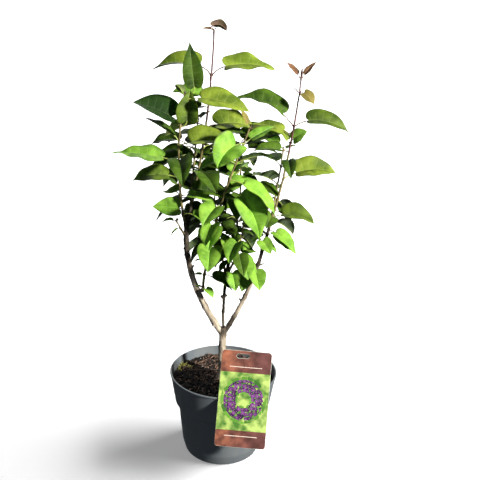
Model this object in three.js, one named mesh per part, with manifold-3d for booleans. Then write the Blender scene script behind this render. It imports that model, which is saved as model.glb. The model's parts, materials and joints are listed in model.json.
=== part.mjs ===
// A young lilac bush in its nursery pot, with a plant tag hooked over the rim.
// Millimetres, +Z up; the origin is the middle of the pot's flat underside, and +Y is the back.
//
// The trunk forks low into three boughs. Leafy shoots grow from the boughs, and each shoot is
// one solid: a tapering stem with pairs of leaves, each pair turned a quarter round from the
// last one, as on every lilac.
import * as THREE from 'three';
import { mergeVertices } from 'three/addons/utils/BufferGeometryUtils.js';
import Module from 'manifold-3d';

const wasm = await Module();
wasm.setup();

const DEG = Math.PI / 180;
const GAP = 0.3; // clearance between neighbouring solids

// ---------------------------------------------------------------- driving sizes
const POT = {
  height: 152, wall: 1.8, floor: 2.4,
  baseRadius: 66.8, chamferHeight: 18, chamferRadius: 71.8,
  stepHeight: 90, stepRadius: 79.8, collarHeight: 97, collarRadius: 85.8,
  rimRadius: 94.2, lipRadius: 95.2, lipHeight: 3,
  drainHoles: 8, drainRadius: 4, drainCircle: 50,
};
const SOIL = { top: 136, flatRadius: 16, lump: 1.6, rings: 7, segments: 36 };
const TAG = {
  width: 84, height: 157, thickness: 1.2, corner: 5, lean: 26 * DEG, turn: 3.5 * DEG,
  middle: 34.5, slotWidth: 22, slotHeight: 7, slotDrop: 9, slotShift: -6,
  clipWidth: 13, clipDrop: 12, clipShift: -12, clipThickness: 1.4,
  clipSunk: 0.4,
};
const TRUNK = { x: -3, top: 237, footRadius: 10.5, radius: 6.4, crownRadius: 6.9 };
const TRUNK_LINE = { foot: [TRUNK.x, 0, SOIL.top], tip: [TRUNK.x, 0, TRUNK.top], bow: [0, 0, 0] };

// Each bough is one tapering limb: foot and tip, the bulge of its bow, and its two radii.
const BOUGHS = {
  left_bough: { foot: [-5, 0, 226], tip: [-67, -1, 432], bow: [-21, 0, 0], radii: [5.6, 3.9] },
  right_bough: { foot: [-2, 0, 224], tip: [63, 0, 395], bow: [9, 0, 0], radii: [4.2, 2.8] },
  centre_bough: { foot: [-2, 0, 230], tip: [3, 0, 351], bow: [-3, 0, 0], radii: [2.0, 2.7] },
};

// Each shoot: its foot at a limb, its tip and bow, the bearing of its first leaf pair (degrees,
// from +X towards +Y), its leaf length and the shares of its length at which pairs stand.
// `set` holds the leaves that shape the outline, as pair and side: bearing, tilt, arch, roll,
// length, then the petiole's lift and the leaf's width where they are not the usual ones.
const SHOOTS = {
  left_leader_shoot: {
    foot: [-66, 0, 431], tip: [-28, 0, 738], bow: [8, 6, 0], first: 70, leaf: 66,
    pairs: [0.12, 0.25, 0.38, 0.5, 0.65, 0.76, 0.985],
    set: {
      '6.0': [20, 30, 100, -30, 25, 70], '6.1': [190, -10, 20, -20, 14, 10],
      '5.0': [170, 18, 38, -28, 72, 60], '5.1': [4, 24, 36, 28, 74, 55],
      '4.0': [318, 6, 42, 28, 76, 45], '4.1': [150, 30, 40, -40, 46],
      '3.0': [10, 34, 60, 30, 56, 45],
    },
  },
  left_front_shoot: {
    foot: [-69, -4, 420], tip: [-70, -30, 640], bow: [-10, -8, 0], first: 190, leaf: 66,
    pairs: [0.1, 0.25, 0.39, 0.52, 0.635, 0.765, 0.88, 0.985],
    set: {
      '7.0': [70, 84, 4, 42, 58, 85],
      '5.0': [184, 34, 16, -34, 60, 50, 0.62], '5.1': [50, 75, 5, 10, 44, 80],
      '4.0': [200, 42, 10, -2, 60, 30], '4.1': [2, 22, 24, 26, 62, 20],
      '3.0': [182, 12, 12, -26, 76, 10], '2.0': [190, 8, 36, -30, 58, 25],
      '1.0': [120, 0, 30, -20, 50, 25], '1.1': [352, 0, 30, 20, 44, 25],
      '0.0': [184, 14, 10, -62, 42, 15, 0.7],
    },
  },
  left_back_shoot: {
    foot: [-65, 4, 424], tip: [-54, 58, 592], bow: [0, 10, 0], first: 40, leaf: 68,
    pairs: [0.22, 0.42, 0.62, 0.8, 0.97],
  },
  left_spur: {
    foot: [-68, -2, 400], tip: [-84, -7, 430], bow: [0, 0, 0], first: 180, leaf: 24,
    pairs: [0.55, 0.96],
  },
  side_shoot: {
    foot: [-40, -2, 304], tip: [32, -30, 592], bow: [-12, -16, 0], first: 20, leaf: 62,
    pairs: [0.03, 0.12, 0.22, 0.33, 0.45, 0.56, 0.635, 0.71, 0.8, 0.91, 0.985],
    set: {
      '10.0': [150, 72, 10, -20, 28, 70], '10.1': [340, 25, 20, 10, 14, 30],
      '9.0': [15, 40, 10, 30, 34, 50], '9.1': [205, -20, 50, -40, 44, 10, 0.66],
      '7.0': [325, -6, 44, 10, 74, 5], '6.0': [340, -38, 30, 30, 68, 10, 0.62],
      '5.0': [240, -14, 30, -10, 46, 20, 0.74], '4.0': [258, -28, 26, -4, 42, 0, 0.76],
      '3.0': [250, -26, 30, 0, 44, -10, 0.76], '2.0': [150, -10, 30, 0, 20, 10],
      '1.0': [345, -16, 30, 14, 42, 0], '1.1': [170, 0, 20, 0, 16, 0],
      '0.0': [325, -24, 20, 0, 20, -10, 0.8], '0.1': [190, 20, 20, 0, 10, 10],
    },
  },
  centre_front_shoot: {
    foot: [3.5, -2, 341], tip: [26, -42, 442], bow: [4, -10, 0], first: 10, leaf: 46,
    pairs: [0.22, 0.45, 0.7, 0.97],
    set: {
      '3.0': [250, 20, 30, 0, 26], '2.0': [240, -30, 30, 0, 38, 0, 0.74],
      '1.0': [300, -36, 26, 6, 40, -10, 0.74],
    },
  },
  centre_back_shoot: {
    foot: [3, 0.5, 349], tip: [16, 44, 548], bow: [10, 6, 0], first: 60, leaf: 70,
    pairs: [0.22, 0.38, 0.54, 0.7, 0.85, 0.975],
  },
  centre_left_shoot: {
    foot: [0, 2, 334], tip: [-24, 64, 486], bow: [-6, 6, 0], first: 10, leaf: 64,
    pairs: [0.3, 0.53, 0.76, 0.97],
  },
  right_leader_shoot: {
    foot: [63.5, 0, 394], tip: [109, 0, 669], bow: [8, 7, 0], first: 90, leaf: 62,
    pairs: [0.05, 0.16, 0.28, 0.4, 0.51, 0.61, 0.71, 0.905, 0.985],
    set: {
      '8.0': [15, 58, 10, 0, 26, 50], '8.1': [170, 58, 10, 0, 28, 50],
      '7.0': [320, -30, 25, 30, 20], '7.1': [170, 45, 20, 0, 12],
      '6.0': [175, 44, 50, -22, 72, 70], '6.1': [0, 12, 50, 28, 68, 40],
      '5.0': [170, 60, 20, -40, 24], '5.1': [20, 45, 30, 20, 28],
      '3.1': [5, 14, 42, 38, 66, 30], '2.1': [330, 10, 30, 20, 36],
      '1.1': [350, 6, 46, 30, 54, 42], '0.1': [340, -20, 30, 20, 38],
      '0.0': [200, -20, 30, 0, 30],
    },
  },
  right_front_shoot: {
    foot: [60, -2, 380], tip: [48, -34, 432], bow: [0, -6, -2], first: 330, leaf: 44,
    pairs: [0.3, 0.62, 0.97],
    set: { '0.0': [345, -10, 30, 10, 22, 10, 0.8], '1.0': [300, -20, 20, 20, 30, 10, 0.74] },
  },
  right_back_shoot: {
    foot: [62.5, 2, 386], tip: [92, 66, 544], bow: [4, 8, 0], first: 30, leaf: 68,
    pairs: [0.22, 0.42, 0.62, 0.8, 0.97],
  },
  right_spur: {
    foot: [47, -1, 340], tip: [46, -16, 356], bow: [0, 0, 0], first: 90, leaf: 30,
    pairs: [0.4, 0.94],
    set: {
      '1.0': [285, -36, 24, 0, 34, 0, 0.8], '1.1': [130, 20, 30, 0, 20],
      '0.0': [220, -10, 30, 0, 18], '0.1': [100, 0, 30, 0, 12],
    },
  },
};
const STEM = { foot: 2.3, tip: 1.1, long: 120 }; // radii of a shoot's stem, and a long one's length
const PETIOLE = { share: 0.35, radius: 1.1, steps: 4 }; // its length is a share of the leaf's
const LEAF = {
  lift: 35, lowTilt: -34, highTilt: 22, arch: 34, widest: 0.68, narrowest: 0.55,
  fold: 22 * DEG, lobe: 0.1, thickness: 0.022, steps: 10, rings: [0.04, 0.3, 0.65],
};
// Along a shoot leaves are longest half-way up, and from `youngFrom` on they are young and short.
const LENGTHS = { ends: 0.8, swell: 0.8, youngFrom: 0.7, young: 0.5 };
const STRAY = { bearing: 12, length: 0.08, tilt: 14, arch: 14, roll: 18 }; // most, leaf by leaf

// How far leaves keep from other limbs, from other shoots' leaves and from their own shoot's.
const CLEAR = { limb: 8, own: 4.5, other: 9.5, pair: 6 };
const BUD = 30; // leaves shorter than this may lie against their own stem
const FEELERS = { along: 8, first: 0.04, across: [-1, -0.5, 0, 0.5, 1] };
const TURNS = [0, 14, -14, 28, -28, 42, -42]; // degrees that a crowded leaf turns aside
const RISES = [0, 14, -14, 26]; // degrees that it is lifted, when turning is not enough

// ---------------------------------------------------------------- colours
const paint = (color, roughness) => (
  new THREE.MeshStandardMaterial({ color, roughness, metalness: 0 }));
const PLASTIC = paint(0x2c323b, 0.5);
const COMPOST = paint(0x33241b, 0.95);
const CARD = paint(0x76a04a, 0.45);
const BARK = paint(0x8a7460, 0.9);
const LEAVES = paint(0x6fae3c, 0.5);

// ---------------------------------------------------------------- vectors and solids
const add = (a, b, scale = 1) => a.map((value, i) => value + b[i] * scale);
const cross = (a, b) => [
  a[1] * b[2] - a[2] * b[1], a[2] * b[0] - a[0] * b[2], a[0] * b[1] - a[1] * b[0]];
const unit = (a) => a.map((value) => value / Math.hypot(...a));
const mix = (a, b, share) => a + (b - a) * share;

// A closed solid from a list of corners and a list of triangles.
function solidOf(corners, triangles) {
  return new wasm.Manifold(new wasm.Mesh({
    numProp: 3,
    vertProperties: Float32Array.from(corners.flat()),
    triVerts: Uint32Array.from(triangles.flat()),
  }));
}

// A closed three.js geometry as a solid.
function solidFrom(geometry) {
  const bare = geometry.clone();
  bare.deleteAttribute('normal');
  bare.deleteAttribute('uv');
  const merged = mergeVertices(bare, 1e-4);
  return new wasm.Manifold(new wasm.Mesh({
    numProp: 3,
    vertProperties: Float32Array.from(merged.attributes.position.array),
    triVerts: Uint32Array.from(merged.index.array),
  }));
}

// A solid as a named mesh; a loose crumb left by a cut is dropped.
function meshOf(solid, name, material) {
  const body = solid.decompose().reduce((a, b) => (a.volume() > b.volume() ? a : b));
  const mesh = body.getMesh();
  const geometry = new THREE.BufferGeometry();
  geometry.setAttribute('position', new THREE.BufferAttribute(mesh.vertProperties, 3));
  geometry.setIndex(new THREE.BufferAttribute(mesh.triVerts, 1));
  geometry.computeVertexNormals();
  const result = new THREE.Mesh(geometry, material);
  result.name = name;
  return result;
}

// A closed tube round the points of a path, with its radius at each point.
function tube(path, radii, sides) {
  const corners = [];
  const triangles = [];
  path.forEach((point, i) => {
    const ahead = path[Math.min(i + 1, path.length - 1)];
    const behind = path[Math.max(i - 1, 0)];
    const along = unit(add(ahead, behind, -1));
    const across = unit(cross([0, 1, 0.01], along));
    const up = cross(along, across);
    for (let k = 0; k < sides; k += 1) {
      const angle = (2 * Math.PI * k) / sides;
      const offset = add(across.map((v) => v * Math.cos(angle)), up, Math.sin(angle));
      corners.push(add(point, offset, radii[i]));
      if (i === 0) continue;
      const low = (i - 1) * sides;
      const next = (k + 1) % sides;
      triangles.push([low + k, low + next, low + sides + k]);
      triangles.push([low + next, low + sides + next, low + sides + k]);
    }
  });
  const last = corners.length - sides;
  for (let k = 1; k < sides - 1; k += 1) {
    triangles.push([0, k + 1, k], [last, last + k, last + k + 1]);
  }
  return solidOf(corners, triangles);
}

// A point on a bowed line: straight from foot to tip, plus a bulge that is fullest half-way.
const bowed = ({ foot, tip, bow }, share) =>
  foot.map((value, i) => mix(value, tip[i], share) + bow[i] * 4 * share * (1 - share));

const steps = (count) => Array.from({ length: count + 1 }, (_, i) => i / count);

// ---------------------------------------------------------------- pot, soil and tag
// The outer wall's outline from the base up: chamfer, tapering body, step and collar.
const potOutline = [
  [POT.baseRadius, 0],
  [POT.chamferRadius, POT.chamferHeight],
  [POT.stepRadius, POT.stepHeight],
  [POT.collarRadius, POT.collarHeight],
  [POT.rimRadius, POT.height - POT.lipHeight],
];
const innerWall = (inset) => potOutline.slice(1).map(([r, z]) => [r - inset, z]);

// The radius at a height on a wall that lies inset from the pot's outside.
function wallRadius(z, inset) {
  const wall = innerWall(inset);
  const i = wall.findIndex((point) => point[1] > z);
  const [[r0, z0], [r1, z1]] = [wall[i - 1], wall[i]];
  return mix(r0, r1, (z - z0) / (z1 - z0));
}

function lathe(outline, segments) {
  const points = outline.map(([r, z]) => new THREE.Vector2(r, z));
  const geometry = new THREE.LatheGeometry(points, segments);
  geometry.rotateX(Math.PI / 2); // the lathe's axis turns from Y up to Z
  return solidFrom(geometry);
}

function makePot() {
  const lip = [
    [POT.lipRadius, POT.height - POT.lipHeight], [POT.lipRadius, POT.height],
    [POT.rimRadius - POT.wall, POT.height],
  ];
  const inside = innerWall(POT.wall).reverse();
  const floor = [[POT.baseRadius - POT.wall, POT.floor], [0, POT.floor]];
  const shell = lathe([[0, 0], ...potOutline, ...lip, ...inside, ...floor], 40);
  const hole = new THREE.CylinderGeometry(POT.drainRadius, POT.drainRadius, 4 * POT.floor, 8);
  hole.rotateX(Math.PI / 2);
  let pot = shell;
  for (let i = 0; i < POT.drainHoles; i += 1) {
    const angle = (2 * Math.PI * i) / POT.drainHoles;
    const place = [POT.drainCircle * Math.cos(angle), POT.drainCircle * Math.sin(angle), 0];
    pot = pot.subtract(solidFrom(hole.clone().translate(...place)));
  }
  return pot;
}

// The soil's height at a place: level where the trunk stands, gently lumpy round it.
function soilHeight(x, y) {
  const fromTrunk = Math.hypot(x - TRUNK.x, y);
  const rough = Math.min(Math.max((fromTrunk - SOIL.flatRadius) / 20, 0), 1);
  const broad = Math.sin(x * 0.19 + 1.3) * Math.cos(y * 0.23);
  const lumps = broad + 0.6 * Math.sin(x * 0.41 - y * 0.37);
  return SOIL.top + SOIL.lump * rough * lumps;
}

// The soil fills the pot: a heap of rings, the lower ones along the wall, the upper ones in.
function makeSoil() {
  const inset = POT.wall + GAP;
  const edge = wallRadius(SOIL.top - SOIL.lump, inset);
  const rings = [[POT.baseRadius - inset, POT.floor + GAP], ...innerWall(inset).slice(0, 3)];
  const topRings = steps(SOIL.rings - 1).map((share) => edge * (1 - share));
  const corners = [[0, 0, POT.floor + GAP]];
  const triangles = [];
  const n = SOIL.segments;
  const turn = (2 * Math.PI) / n;
  const around = (k, r) => [r * Math.cos(turn * k), r * Math.sin(turn * k)];
  for (const [r, z] of rings) {
    for (let k = 0; k < n; k += 1) corners.push([...around(k, r), z]);
  }
  for (const r of topRings.slice(0, -1)) {
    for (let k = 0; k < n; k += 1) {
      const [x, y] = around(k, r);
      corners.push([x, y, soilHeight(x, y)]);
    }
  }
  corners.push([0, 0, soilHeight(0, 0)]);
  const ringCount = rings.length + topRings.length - 1;
  const crown = corners.length - 1;
  for (let k = 0; k < n; k += 1) {
    const next = (k + 1) % n;
    triangles.push([0, 1 + next, 1 + k]);
    for (let i = 0; i < ringCount - 1; i += 1) {
      const low = 1 + i * n;
      triangles.push([low + k, low + next, low + n + k]);
      triangles.push([low + next, low + n + next, low + n + k]);
    }
    const last = 1 + (ringCount - 1) * n;
    triangles.push([last + k, last + next, crown]);
  }
  return solidOf(corners, triangles);
}

// The leaning card passes the rim's lip GAP clear; its back face is this far out at rim height.
const TAG_STAND_OFF = GAP / Math.cos(TAG.lean);

// The tag is a card with round corners and a hanging slot. A tongue behind it hooks over the
// pot's rim, and the card leans back from there.
function makeTag() {
  const { width, height, corner, thickness } = TAG;
  const [w, h] = [width / 2, height / 2];
  const shape = new THREE.Shape();
  shape.moveTo(-w + corner, -h);
  shape.lineTo(w - corner, -h);
  shape.absarc(w - corner, -h + corner, corner, -Math.PI / 2, 0);
  shape.absarc(w - corner, h - corner, corner, 0, Math.PI / 2);
  shape.absarc(-w + corner, h - corner, corner, Math.PI / 2, Math.PI);
  shape.absarc(-w + corner, -h + corner, corner, Math.PI, 1.5 * Math.PI);
  const slot = new THREE.Path();
  const end = TAG.slotHeight / 2;
  const slotY = h - TAG.slotDrop;
  const reach = TAG.slotWidth / 2 - end;
  slot.absarc(TAG.slotShift + reach, slotY, end, -Math.PI / 2, Math.PI / 2);
  slot.absarc(TAG.slotShift - reach, slotY, end, Math.PI / 2, 1.5 * Math.PI);
  shape.holes.push(slot);
  const flat = { depth: thickness, bevelEnabled: false, curveSegments: 4 };
  const card = new THREE.ExtrudeGeometry(shape, flat);
  // Flat card to its stand: turned in its own plane, raised upright, then leaned back.
  const place = new THREE.Matrix4();
  place.makeTranslation(TAG.middle, -POT.lipRadius - TAG_STAND_OFF, POT.height);
  place.multiply(new THREE.Matrix4().makeRotationX(Math.PI / 2 - TAG.lean));
  place.multiply(new THREE.Matrix4().makeRotationZ(-TAG.turn));
  card.applyMatrix4(place);
  return solidFrom(card).add(makeClip());
}

// The clip: a strip over the rim, sunk into the card in front, and a tongue down inside.
function makeClip() {
  const t = TAG.clipThickness;
  const x = TAG.middle + TAG.clipShift;
  const front = -POT.lipRadius - TAG_STAND_OFF - TAG.clipSunk;
  const far = x + TAG.clipWidth / 2; // the rim lies furthest back at this end of the clip
  const wallInside = -Math.sqrt(wallRadius(POT.height - TAG.clipDrop, POT.wall) ** 2 - far ** 2);
  const back = wallInside + GAP + t;
  const strip = new THREE.BoxGeometry(TAG.clipWidth, back - front, t);
  strip.translate(x, (front + back) / 2, POT.height + GAP + t / 2);
  const tongue = new THREE.BoxGeometry(TAG.clipWidth, t, TAG.clipDrop);
  tongue.translate(x, back - t / 2, POT.height + GAP + t - TAG.clipDrop / 2);
  return solidFrom(strip).add(solidFrom(tongue));
}

// ---------------------------------------------------------------- trunk and boughs
// The trunk flares at the soil, is straight above and knuckled where it forks.
function trunkTube(grow) {
  const foot = SOIL.top + GAP;
  const outline = [
    [foot, TRUNK.footRadius], [foot + 3, 8.6], [foot + 9, 7.1], [foot + 22, TRUNK.radius],
    [TRUNK.top - 22, TRUNK.radius - 0.3], [TRUNK.top - 11, TRUNK.crownRadius],
    [TRUNK.top - 4, 6.0], [TRUNK.top, 3.0],
  ];
  return tube(outline.map(([z]) => [TRUNK.x, 0, z]), outline.map(([, r]) => r + grow), 10);
}

function boughTube(bough, grow) {
  const shares = steps(12);
  const path = shares.map((share) => bowed(bough, share));
  return tube(path, shares.map((share) => mix(...bough.radii, share) + grow), 8);
}

// ---------------------------------------------------------------- leaves
// A small seeded generator, so that the bush grows the same way every time.
function seeded(seed) {
  let state = (seed * 7919 + 12345) >>> 0;
  return () => {
    state = (Math.imul(state, 1664525) + 1013904223) >>> 0;
    return (state / 4294967296) * 2 - 1;
  };
}

const heading = (bearing, rise) => [
  Math.cos(bearing) * Math.cos(rise), Math.sin(bearing) * Math.cos(rise), Math.sin(rise)];

// The line of a leaf: along the petiole from lift to tilt, then along the midrib, bending
// down by the arch. Each point has the rise of the line there.
function midline(leaf) {
  let point = leaf.root;
  const line = [{ point, rise: leaf.lift }];
  for (let i = 0; i < PETIOLE.steps; i += 1) {
    const rise = mix(leaf.lift, leaf.tilt, (i + 0.5) / PETIOLE.steps);
    const step = (PETIOLE.share * leaf.length) / PETIOLE.steps;
    point = add(point, heading(leaf.bearing, rise), step);
    line.push({ point, rise: mix(leaf.lift, leaf.tilt, (i + 1) / PETIOLE.steps) });
  }
  for (let i = 0; i < LEAF.steps; i += 1) {
    const rise = leaf.tilt - (leaf.arch * (i + 0.5)) / LEAF.steps;
    point = add(point, heading(leaf.bearing, rise), leaf.length / LEAF.steps);
    line.push({ point, rise: leaf.tilt - (leaf.arch * (i + 1)) / LEAF.steps });
  }
  return line;
}

// Half the width of a heart-shaped leaf with a drawn-out tip, as a share of its length.
function halfWidth(u, width) {
  const swell = Math.max(Math.sin(Math.PI * (0.015 + 0.985 * u) ** 0.62), 0);
  return 0.5 * width * swell ** (0.75 + 0.6 * u);
}

// A point of the blade: u runs from the petiole to the tip, v from one edge to the other.
// The lobes reach back past the petiole, and both halves fold up from the midrib.
function bladePoint(leaf, line, u, v, lift = 0) {
  const place = u * LEAF.steps;
  const i = Math.min(Math.floor(place), LEAF.steps - 1);
  const [a, b] = [line[PETIOLE.steps + i], line[PETIOLE.steps + i + 1]];
  const middle = a.point.map((value, k) => mix(value, b.point[k], place - i));
  const rise = mix(a.rise, b.rise, place - i);
  const along = heading(leaf.bearing, rise);
  const over = heading(leaf.bearing, rise + Math.PI / 2);
  const aside = cross(along, over);
  const [cos, sin] = [Math.cos(leaf.roll), Math.sin(leaf.roll)];
  const up = add(over.map((value) => value * cos), aside, sin);
  const across = add(aside.map((value) => value * cos), over, -sin);
  const half = halfWidth(u, leaf.width) * leaf.length;
  const back = LEAF.lobe * Math.abs(v) * (1 - u) ** 3 * leaf.length;
  let point = add(middle, along, -back);
  point = add(point, across, v * half * Math.cos(LEAF.fold));
  return add(point, up, Math.abs(v) * half * Math.sin(LEAF.fold) + lift);
}

// A leaf as one solid: rings of four corners (one edge, top, other edge, underside) run along
// the petiole, which starts in the stem's middle, and on through the blade to its tip. The
// blade is thickest along its midrib and thin at its edges.
function leafSolid(leaf) {
  const line = midline(leaf);
  const half = (LEAF.thickness * leaf.length) / 2;
  const corners = [];
  for (const i of [0, PETIOLE.steps / 2, PETIOLE.steps]) {
    const { point, rise } = line[i];
    const over = heading(leaf.bearing, rise + Math.PI / 2);
    const aside = cross(heading(leaf.bearing, rise), over);
    corners.push(
      add(point, aside, -PETIOLE.radius), add(point, over, PETIOLE.radius),
      add(point, aside, PETIOLE.radius), add(point, over, -PETIOLE.radius));
  }
  for (const u of LEAF.rings) {
    corners.push(
      bladePoint(leaf, line, u, -1), bladePoint(leaf, line, u, 0, half),
      bladePoint(leaf, line, u, 1), bladePoint(leaf, line, u, 0, -half));
  }
  const rings = corners.length / 4;
  const tip = corners.length;
  corners.push(bladePoint(leaf, line, 1, 0));
  const triangles = [[0, 3, 1], [1, 3, 2]];
  for (let i = 0; i < rings; i += 1) {
    for (let k = 0; k < 4; k += 1) {
      const [a, b] = [4 * i + k, 4 * i + ((k + 1) % 4)];
      if (i === rings - 1) triangles.push([a, b, tip]);
      else triangles.push([a, b, a + 4], [b, b + 4, a + 4]);
    }
  }
  return solidOf(corners, triangles);
}

// ---------------------------------------------------------------- the leaves' places
// Every leaf of a shoot by its rule: pairs stand opposite, a quarter turn on at each pair.
// Leaves low on the shoot hang and are broad; the last pairs are small, young and raised.
function leavesOf(name, index) {
  const shoot = SHOOTS[name];
  const random = seeded(index + 1);
  const count = shoot.pairs.length;
  const leaves = [];
  shoot.pairs.forEach((place, pair) => {
    const along = pair / Math.max(count - 1, 1);
    const young = Math.max(0, along - LENGTHS.youngFrom) / (1 - LENGTHS.youngFrom);
    const share = (LENGTHS.ends + LENGTHS.swell * along * (1 - along)) * (1 - LENGTHS.young * young);
    for (const side of [0, 1]) {
      const bearing = shoot.first + 90 * pair + 180 * side + STRAY.bearing * random();
      const length = shoot.leaf * share * (1 + STRAY.length * random());
      const tilt = mix(LEAF.lowTilt, LEAF.highTilt, along) + STRAY.tilt * random();
      const arch = LEAF.arch + STRAY.arch * random();
      const roll = STRAY.roll * random();
      const width = mix(LEAF.widest, LEAF.narrowest, along);
      const usual = [bearing, tilt, arch, roll, length, LEAF.lift, width];
      const set = shoot.set?.[`${pair}.${side}`];
      const values = usual.map((value, i) => set?.[i] ?? value);
      leaves.push({
        name, pair, isSet: Boolean(set), root: bowed(shoot, place), bearing: values[0] * DEG,
        tilt: values[1] * DEG, arch: values[2] * DEG, roll: values[3] * DEG,
        length: values[4], lift: values[5] * DEG, width: values[6],
      });
    }
  });
  return leaves;
}

// Points spread over a leaf, by which its distance from others is judged.
function feelers(leaf) {
  const line = midline(leaf);
  const points = [];
  for (let i = 0; i < FEELERS.along; i += 1) {
    const u = mix(FEELERS.first, 1, i / (FEELERS.along - 1));
    for (const v of FEELERS.across) points.push(bladePoint(leaf, line, u, v));
  }
  return { blade: points, petiole: [line[2].point, line[3].point] };
}

const nearest = (points, others) => {
  let least = Infinity;
  for (const p of points) {
    for (const q of others) {
      least = Math.min(least, Math.hypot(p[0] - q[0], p[1] - q[1], p[2] - q[2]));
    }
  }
  return least;
};

// Leaves that are set come first; each other leaf then takes the first free place round its
// own, and is left out where there is none.
function placeLeaves() {
  const stems = Object.entries({ ...SHOOTS, ...BOUGHS, trunk: TRUNK_LINE })
    .map(([name, line]) => ({ name, points: steps(40).map((share) => bowed(line, share)) }));
  const wanted = Object.keys(SHOOTS).flatMap((name, index) => leavesOf(name, index));
  const kept = [];
  const isFree = (leaf, touch) => {
    const all = [...touch.blade, ...touch.petiole];
    for (const stem of stems) {
      const own = stem.name === leaf.name;
      if (own && leaf.length <= BUD) continue;
      const least = nearest(own ? touch.blade : all, stem.points);
      if (least < (own ? CLEAR.own : CLEAR.limb)) return false;
    }
    for (const other of kept) {
      if (other.name === leaf.name && other.pair === leaf.pair) continue;
      const clear = other.name === leaf.name ? CLEAR.pair : CLEAR.other;
      if (nearest(all, other.touch) < clear) return false;
    }
    return true;
  };
  const keep = (leaf) => {
    const touch = feelers(leaf);
    kept.push({ ...leaf, touch: [...touch.blade, ...touch.petiole] });
  };
  wanted.filter((leaf) => leaf.isSet).forEach(keep);
  for (const leaf of wanted.filter((other) => !other.isSet)) {
    const tries = RISES.flatMap((rise) => TURNS.map((turn) => ({
      ...leaf, bearing: leaf.bearing + turn * DEG, tilt: leaf.tilt + rise * DEG })));
    const free = tries.find((attempt) => isFree(attempt, feelers(attempt)));
    if (free) keep(free);
  }
  return kept;
}

// One shoot as one solid: its stem with all its leaves, cut clear of the limbs.
function shootSolid(name, leaves, limbs) {
  const shoot = SHOOTS[name];
  const shares = steps(Math.hypot(...add(shoot.tip, shoot.foot, -1)) > STEM.long ? 9 : 4);
  const radii = shares.map((share) => mix(STEM.foot, STEM.tip, share));
  let solid = tube(shares.map((share) => bowed(shoot, share)), radii, 6);
  for (const leaf of leaves) solid = solid.add(leafSolid(leaf));
  for (const limb of limbs) solid = solid.subtract(limb);
  return solid;
}

// ---------------------------------------------------------------- the whole bush
const bush = new THREE.Group();
bush.add(meshOf(makePot(), 'pot', PLASTIC));
bush.add(meshOf(makeSoil(), 'potting_soil', COMPOST));
bush.add(meshOf(makeTag(), 'plant_tag', CARD));
bush.add(meshOf(trunkTube(0), 'trunk', BARK));

// Each bough is cut clear of the trunk and of the boughs made before it.
const limbs = [trunkTube(GAP)];
for (const [name, bough] of Object.entries(BOUGHS)) {
  const solid = limbs.reduce((body, limb) => body.subtract(limb), boughTube(bough, 0));
  bush.add(meshOf(solid, name, BARK));
  limbs.push(boughTube(bough, GAP));
}

const placed = placeLeaves();
for (const name of Object.keys(SHOOTS)) {
  const leaves = placed.filter((leaf) => leaf.name === name);
  bush.add(meshOf(shootSolid(name, leaves, limbs), name, LEAVES));
}

export default bush;
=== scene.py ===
# %% [markdown]
# # A young lilac bush in its nursery pot
#
# This lesson dresses a plain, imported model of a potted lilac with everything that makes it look
# alive: bark with knots, folded heart-shaped leaves with veins, bronze young tips, fibrous compost,
# a moulded pot and a printed plant tag. Each step has a note on what the real thing is like and
# why it is made the way it is. All new shapes are worked out with numpy, in millimetres, and
# turned into metres when they become Blender meshes.

import json

import bpy
import numpy as np
from mathutils import Matrix
from mathutils.geometry import tessellate_polygon

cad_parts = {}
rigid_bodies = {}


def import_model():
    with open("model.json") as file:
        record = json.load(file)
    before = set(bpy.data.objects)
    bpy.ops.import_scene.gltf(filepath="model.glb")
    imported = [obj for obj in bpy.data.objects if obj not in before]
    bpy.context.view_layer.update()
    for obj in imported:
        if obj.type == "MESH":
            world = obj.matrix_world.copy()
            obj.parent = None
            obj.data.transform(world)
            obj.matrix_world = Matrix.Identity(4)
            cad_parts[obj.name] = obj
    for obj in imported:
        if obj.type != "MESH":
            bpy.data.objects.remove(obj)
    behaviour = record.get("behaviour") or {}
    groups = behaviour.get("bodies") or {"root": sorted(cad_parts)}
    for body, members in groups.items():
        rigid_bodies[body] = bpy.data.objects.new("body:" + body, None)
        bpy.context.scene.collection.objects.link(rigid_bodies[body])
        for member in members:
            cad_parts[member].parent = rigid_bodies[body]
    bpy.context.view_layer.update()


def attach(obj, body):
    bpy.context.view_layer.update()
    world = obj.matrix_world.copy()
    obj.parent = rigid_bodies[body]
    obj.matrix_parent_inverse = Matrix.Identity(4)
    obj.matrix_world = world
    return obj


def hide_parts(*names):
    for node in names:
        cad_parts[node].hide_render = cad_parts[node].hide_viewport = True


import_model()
MM = 0.001
DEG = np.pi / 180

# %% [markdown]
# ## The camera
#
# A camera stands where a person would who looks slightly down at a pot on the ground. It could be
# aimed with a Track To constraint, but a matrix built from its own three axes is exact, and lets
# the camera lean a little to one side, as a hand-held one does.

# %% Make the camera
EYE = (0.0, -1.040, 0.736)
PITCH, YAW, LEAN = 18.0 * DEG, 1.21 * DEG, 1.93 * DEG
SENSOR, LENS = 36, 48.75


def camera_axes(pitch, yaw, lean):
    """The camera's right, up and forward: turned by yaw about Z, tipped down by pitch, then
    leaned about its own line of sight."""
    level = np.array([np.sin(yaw), np.cos(yaw), 0.0])
    sky = np.array([0.0, 0.0, 1.0])
    right = np.array([np.cos(yaw), -np.sin(yaw), 0.0])
    forward = level * np.cos(pitch) - sky * np.sin(pitch)
    up = level * np.sin(pitch) + sky * np.cos(pitch)
    return right * np.cos(lean) + up * np.sin(lean), up * np.cos(lean) - right * np.sin(lean), forward


def link_new(name, data):
    """A new object with its mesh, camera or lamp, in the scene."""
    thing = bpy.data.objects.new(name, data)
    bpy.context.scene.collection.objects.link(thing)
    return thing


def stood(right, up, back, place):
    """The matrix of a thing at a place: its own three axes and the place are its columns."""
    matrix = np.eye(4)
    matrix[:3] = np.stack([right, up, back, place], 1)
    return Matrix(matrix.tolist())


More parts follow.
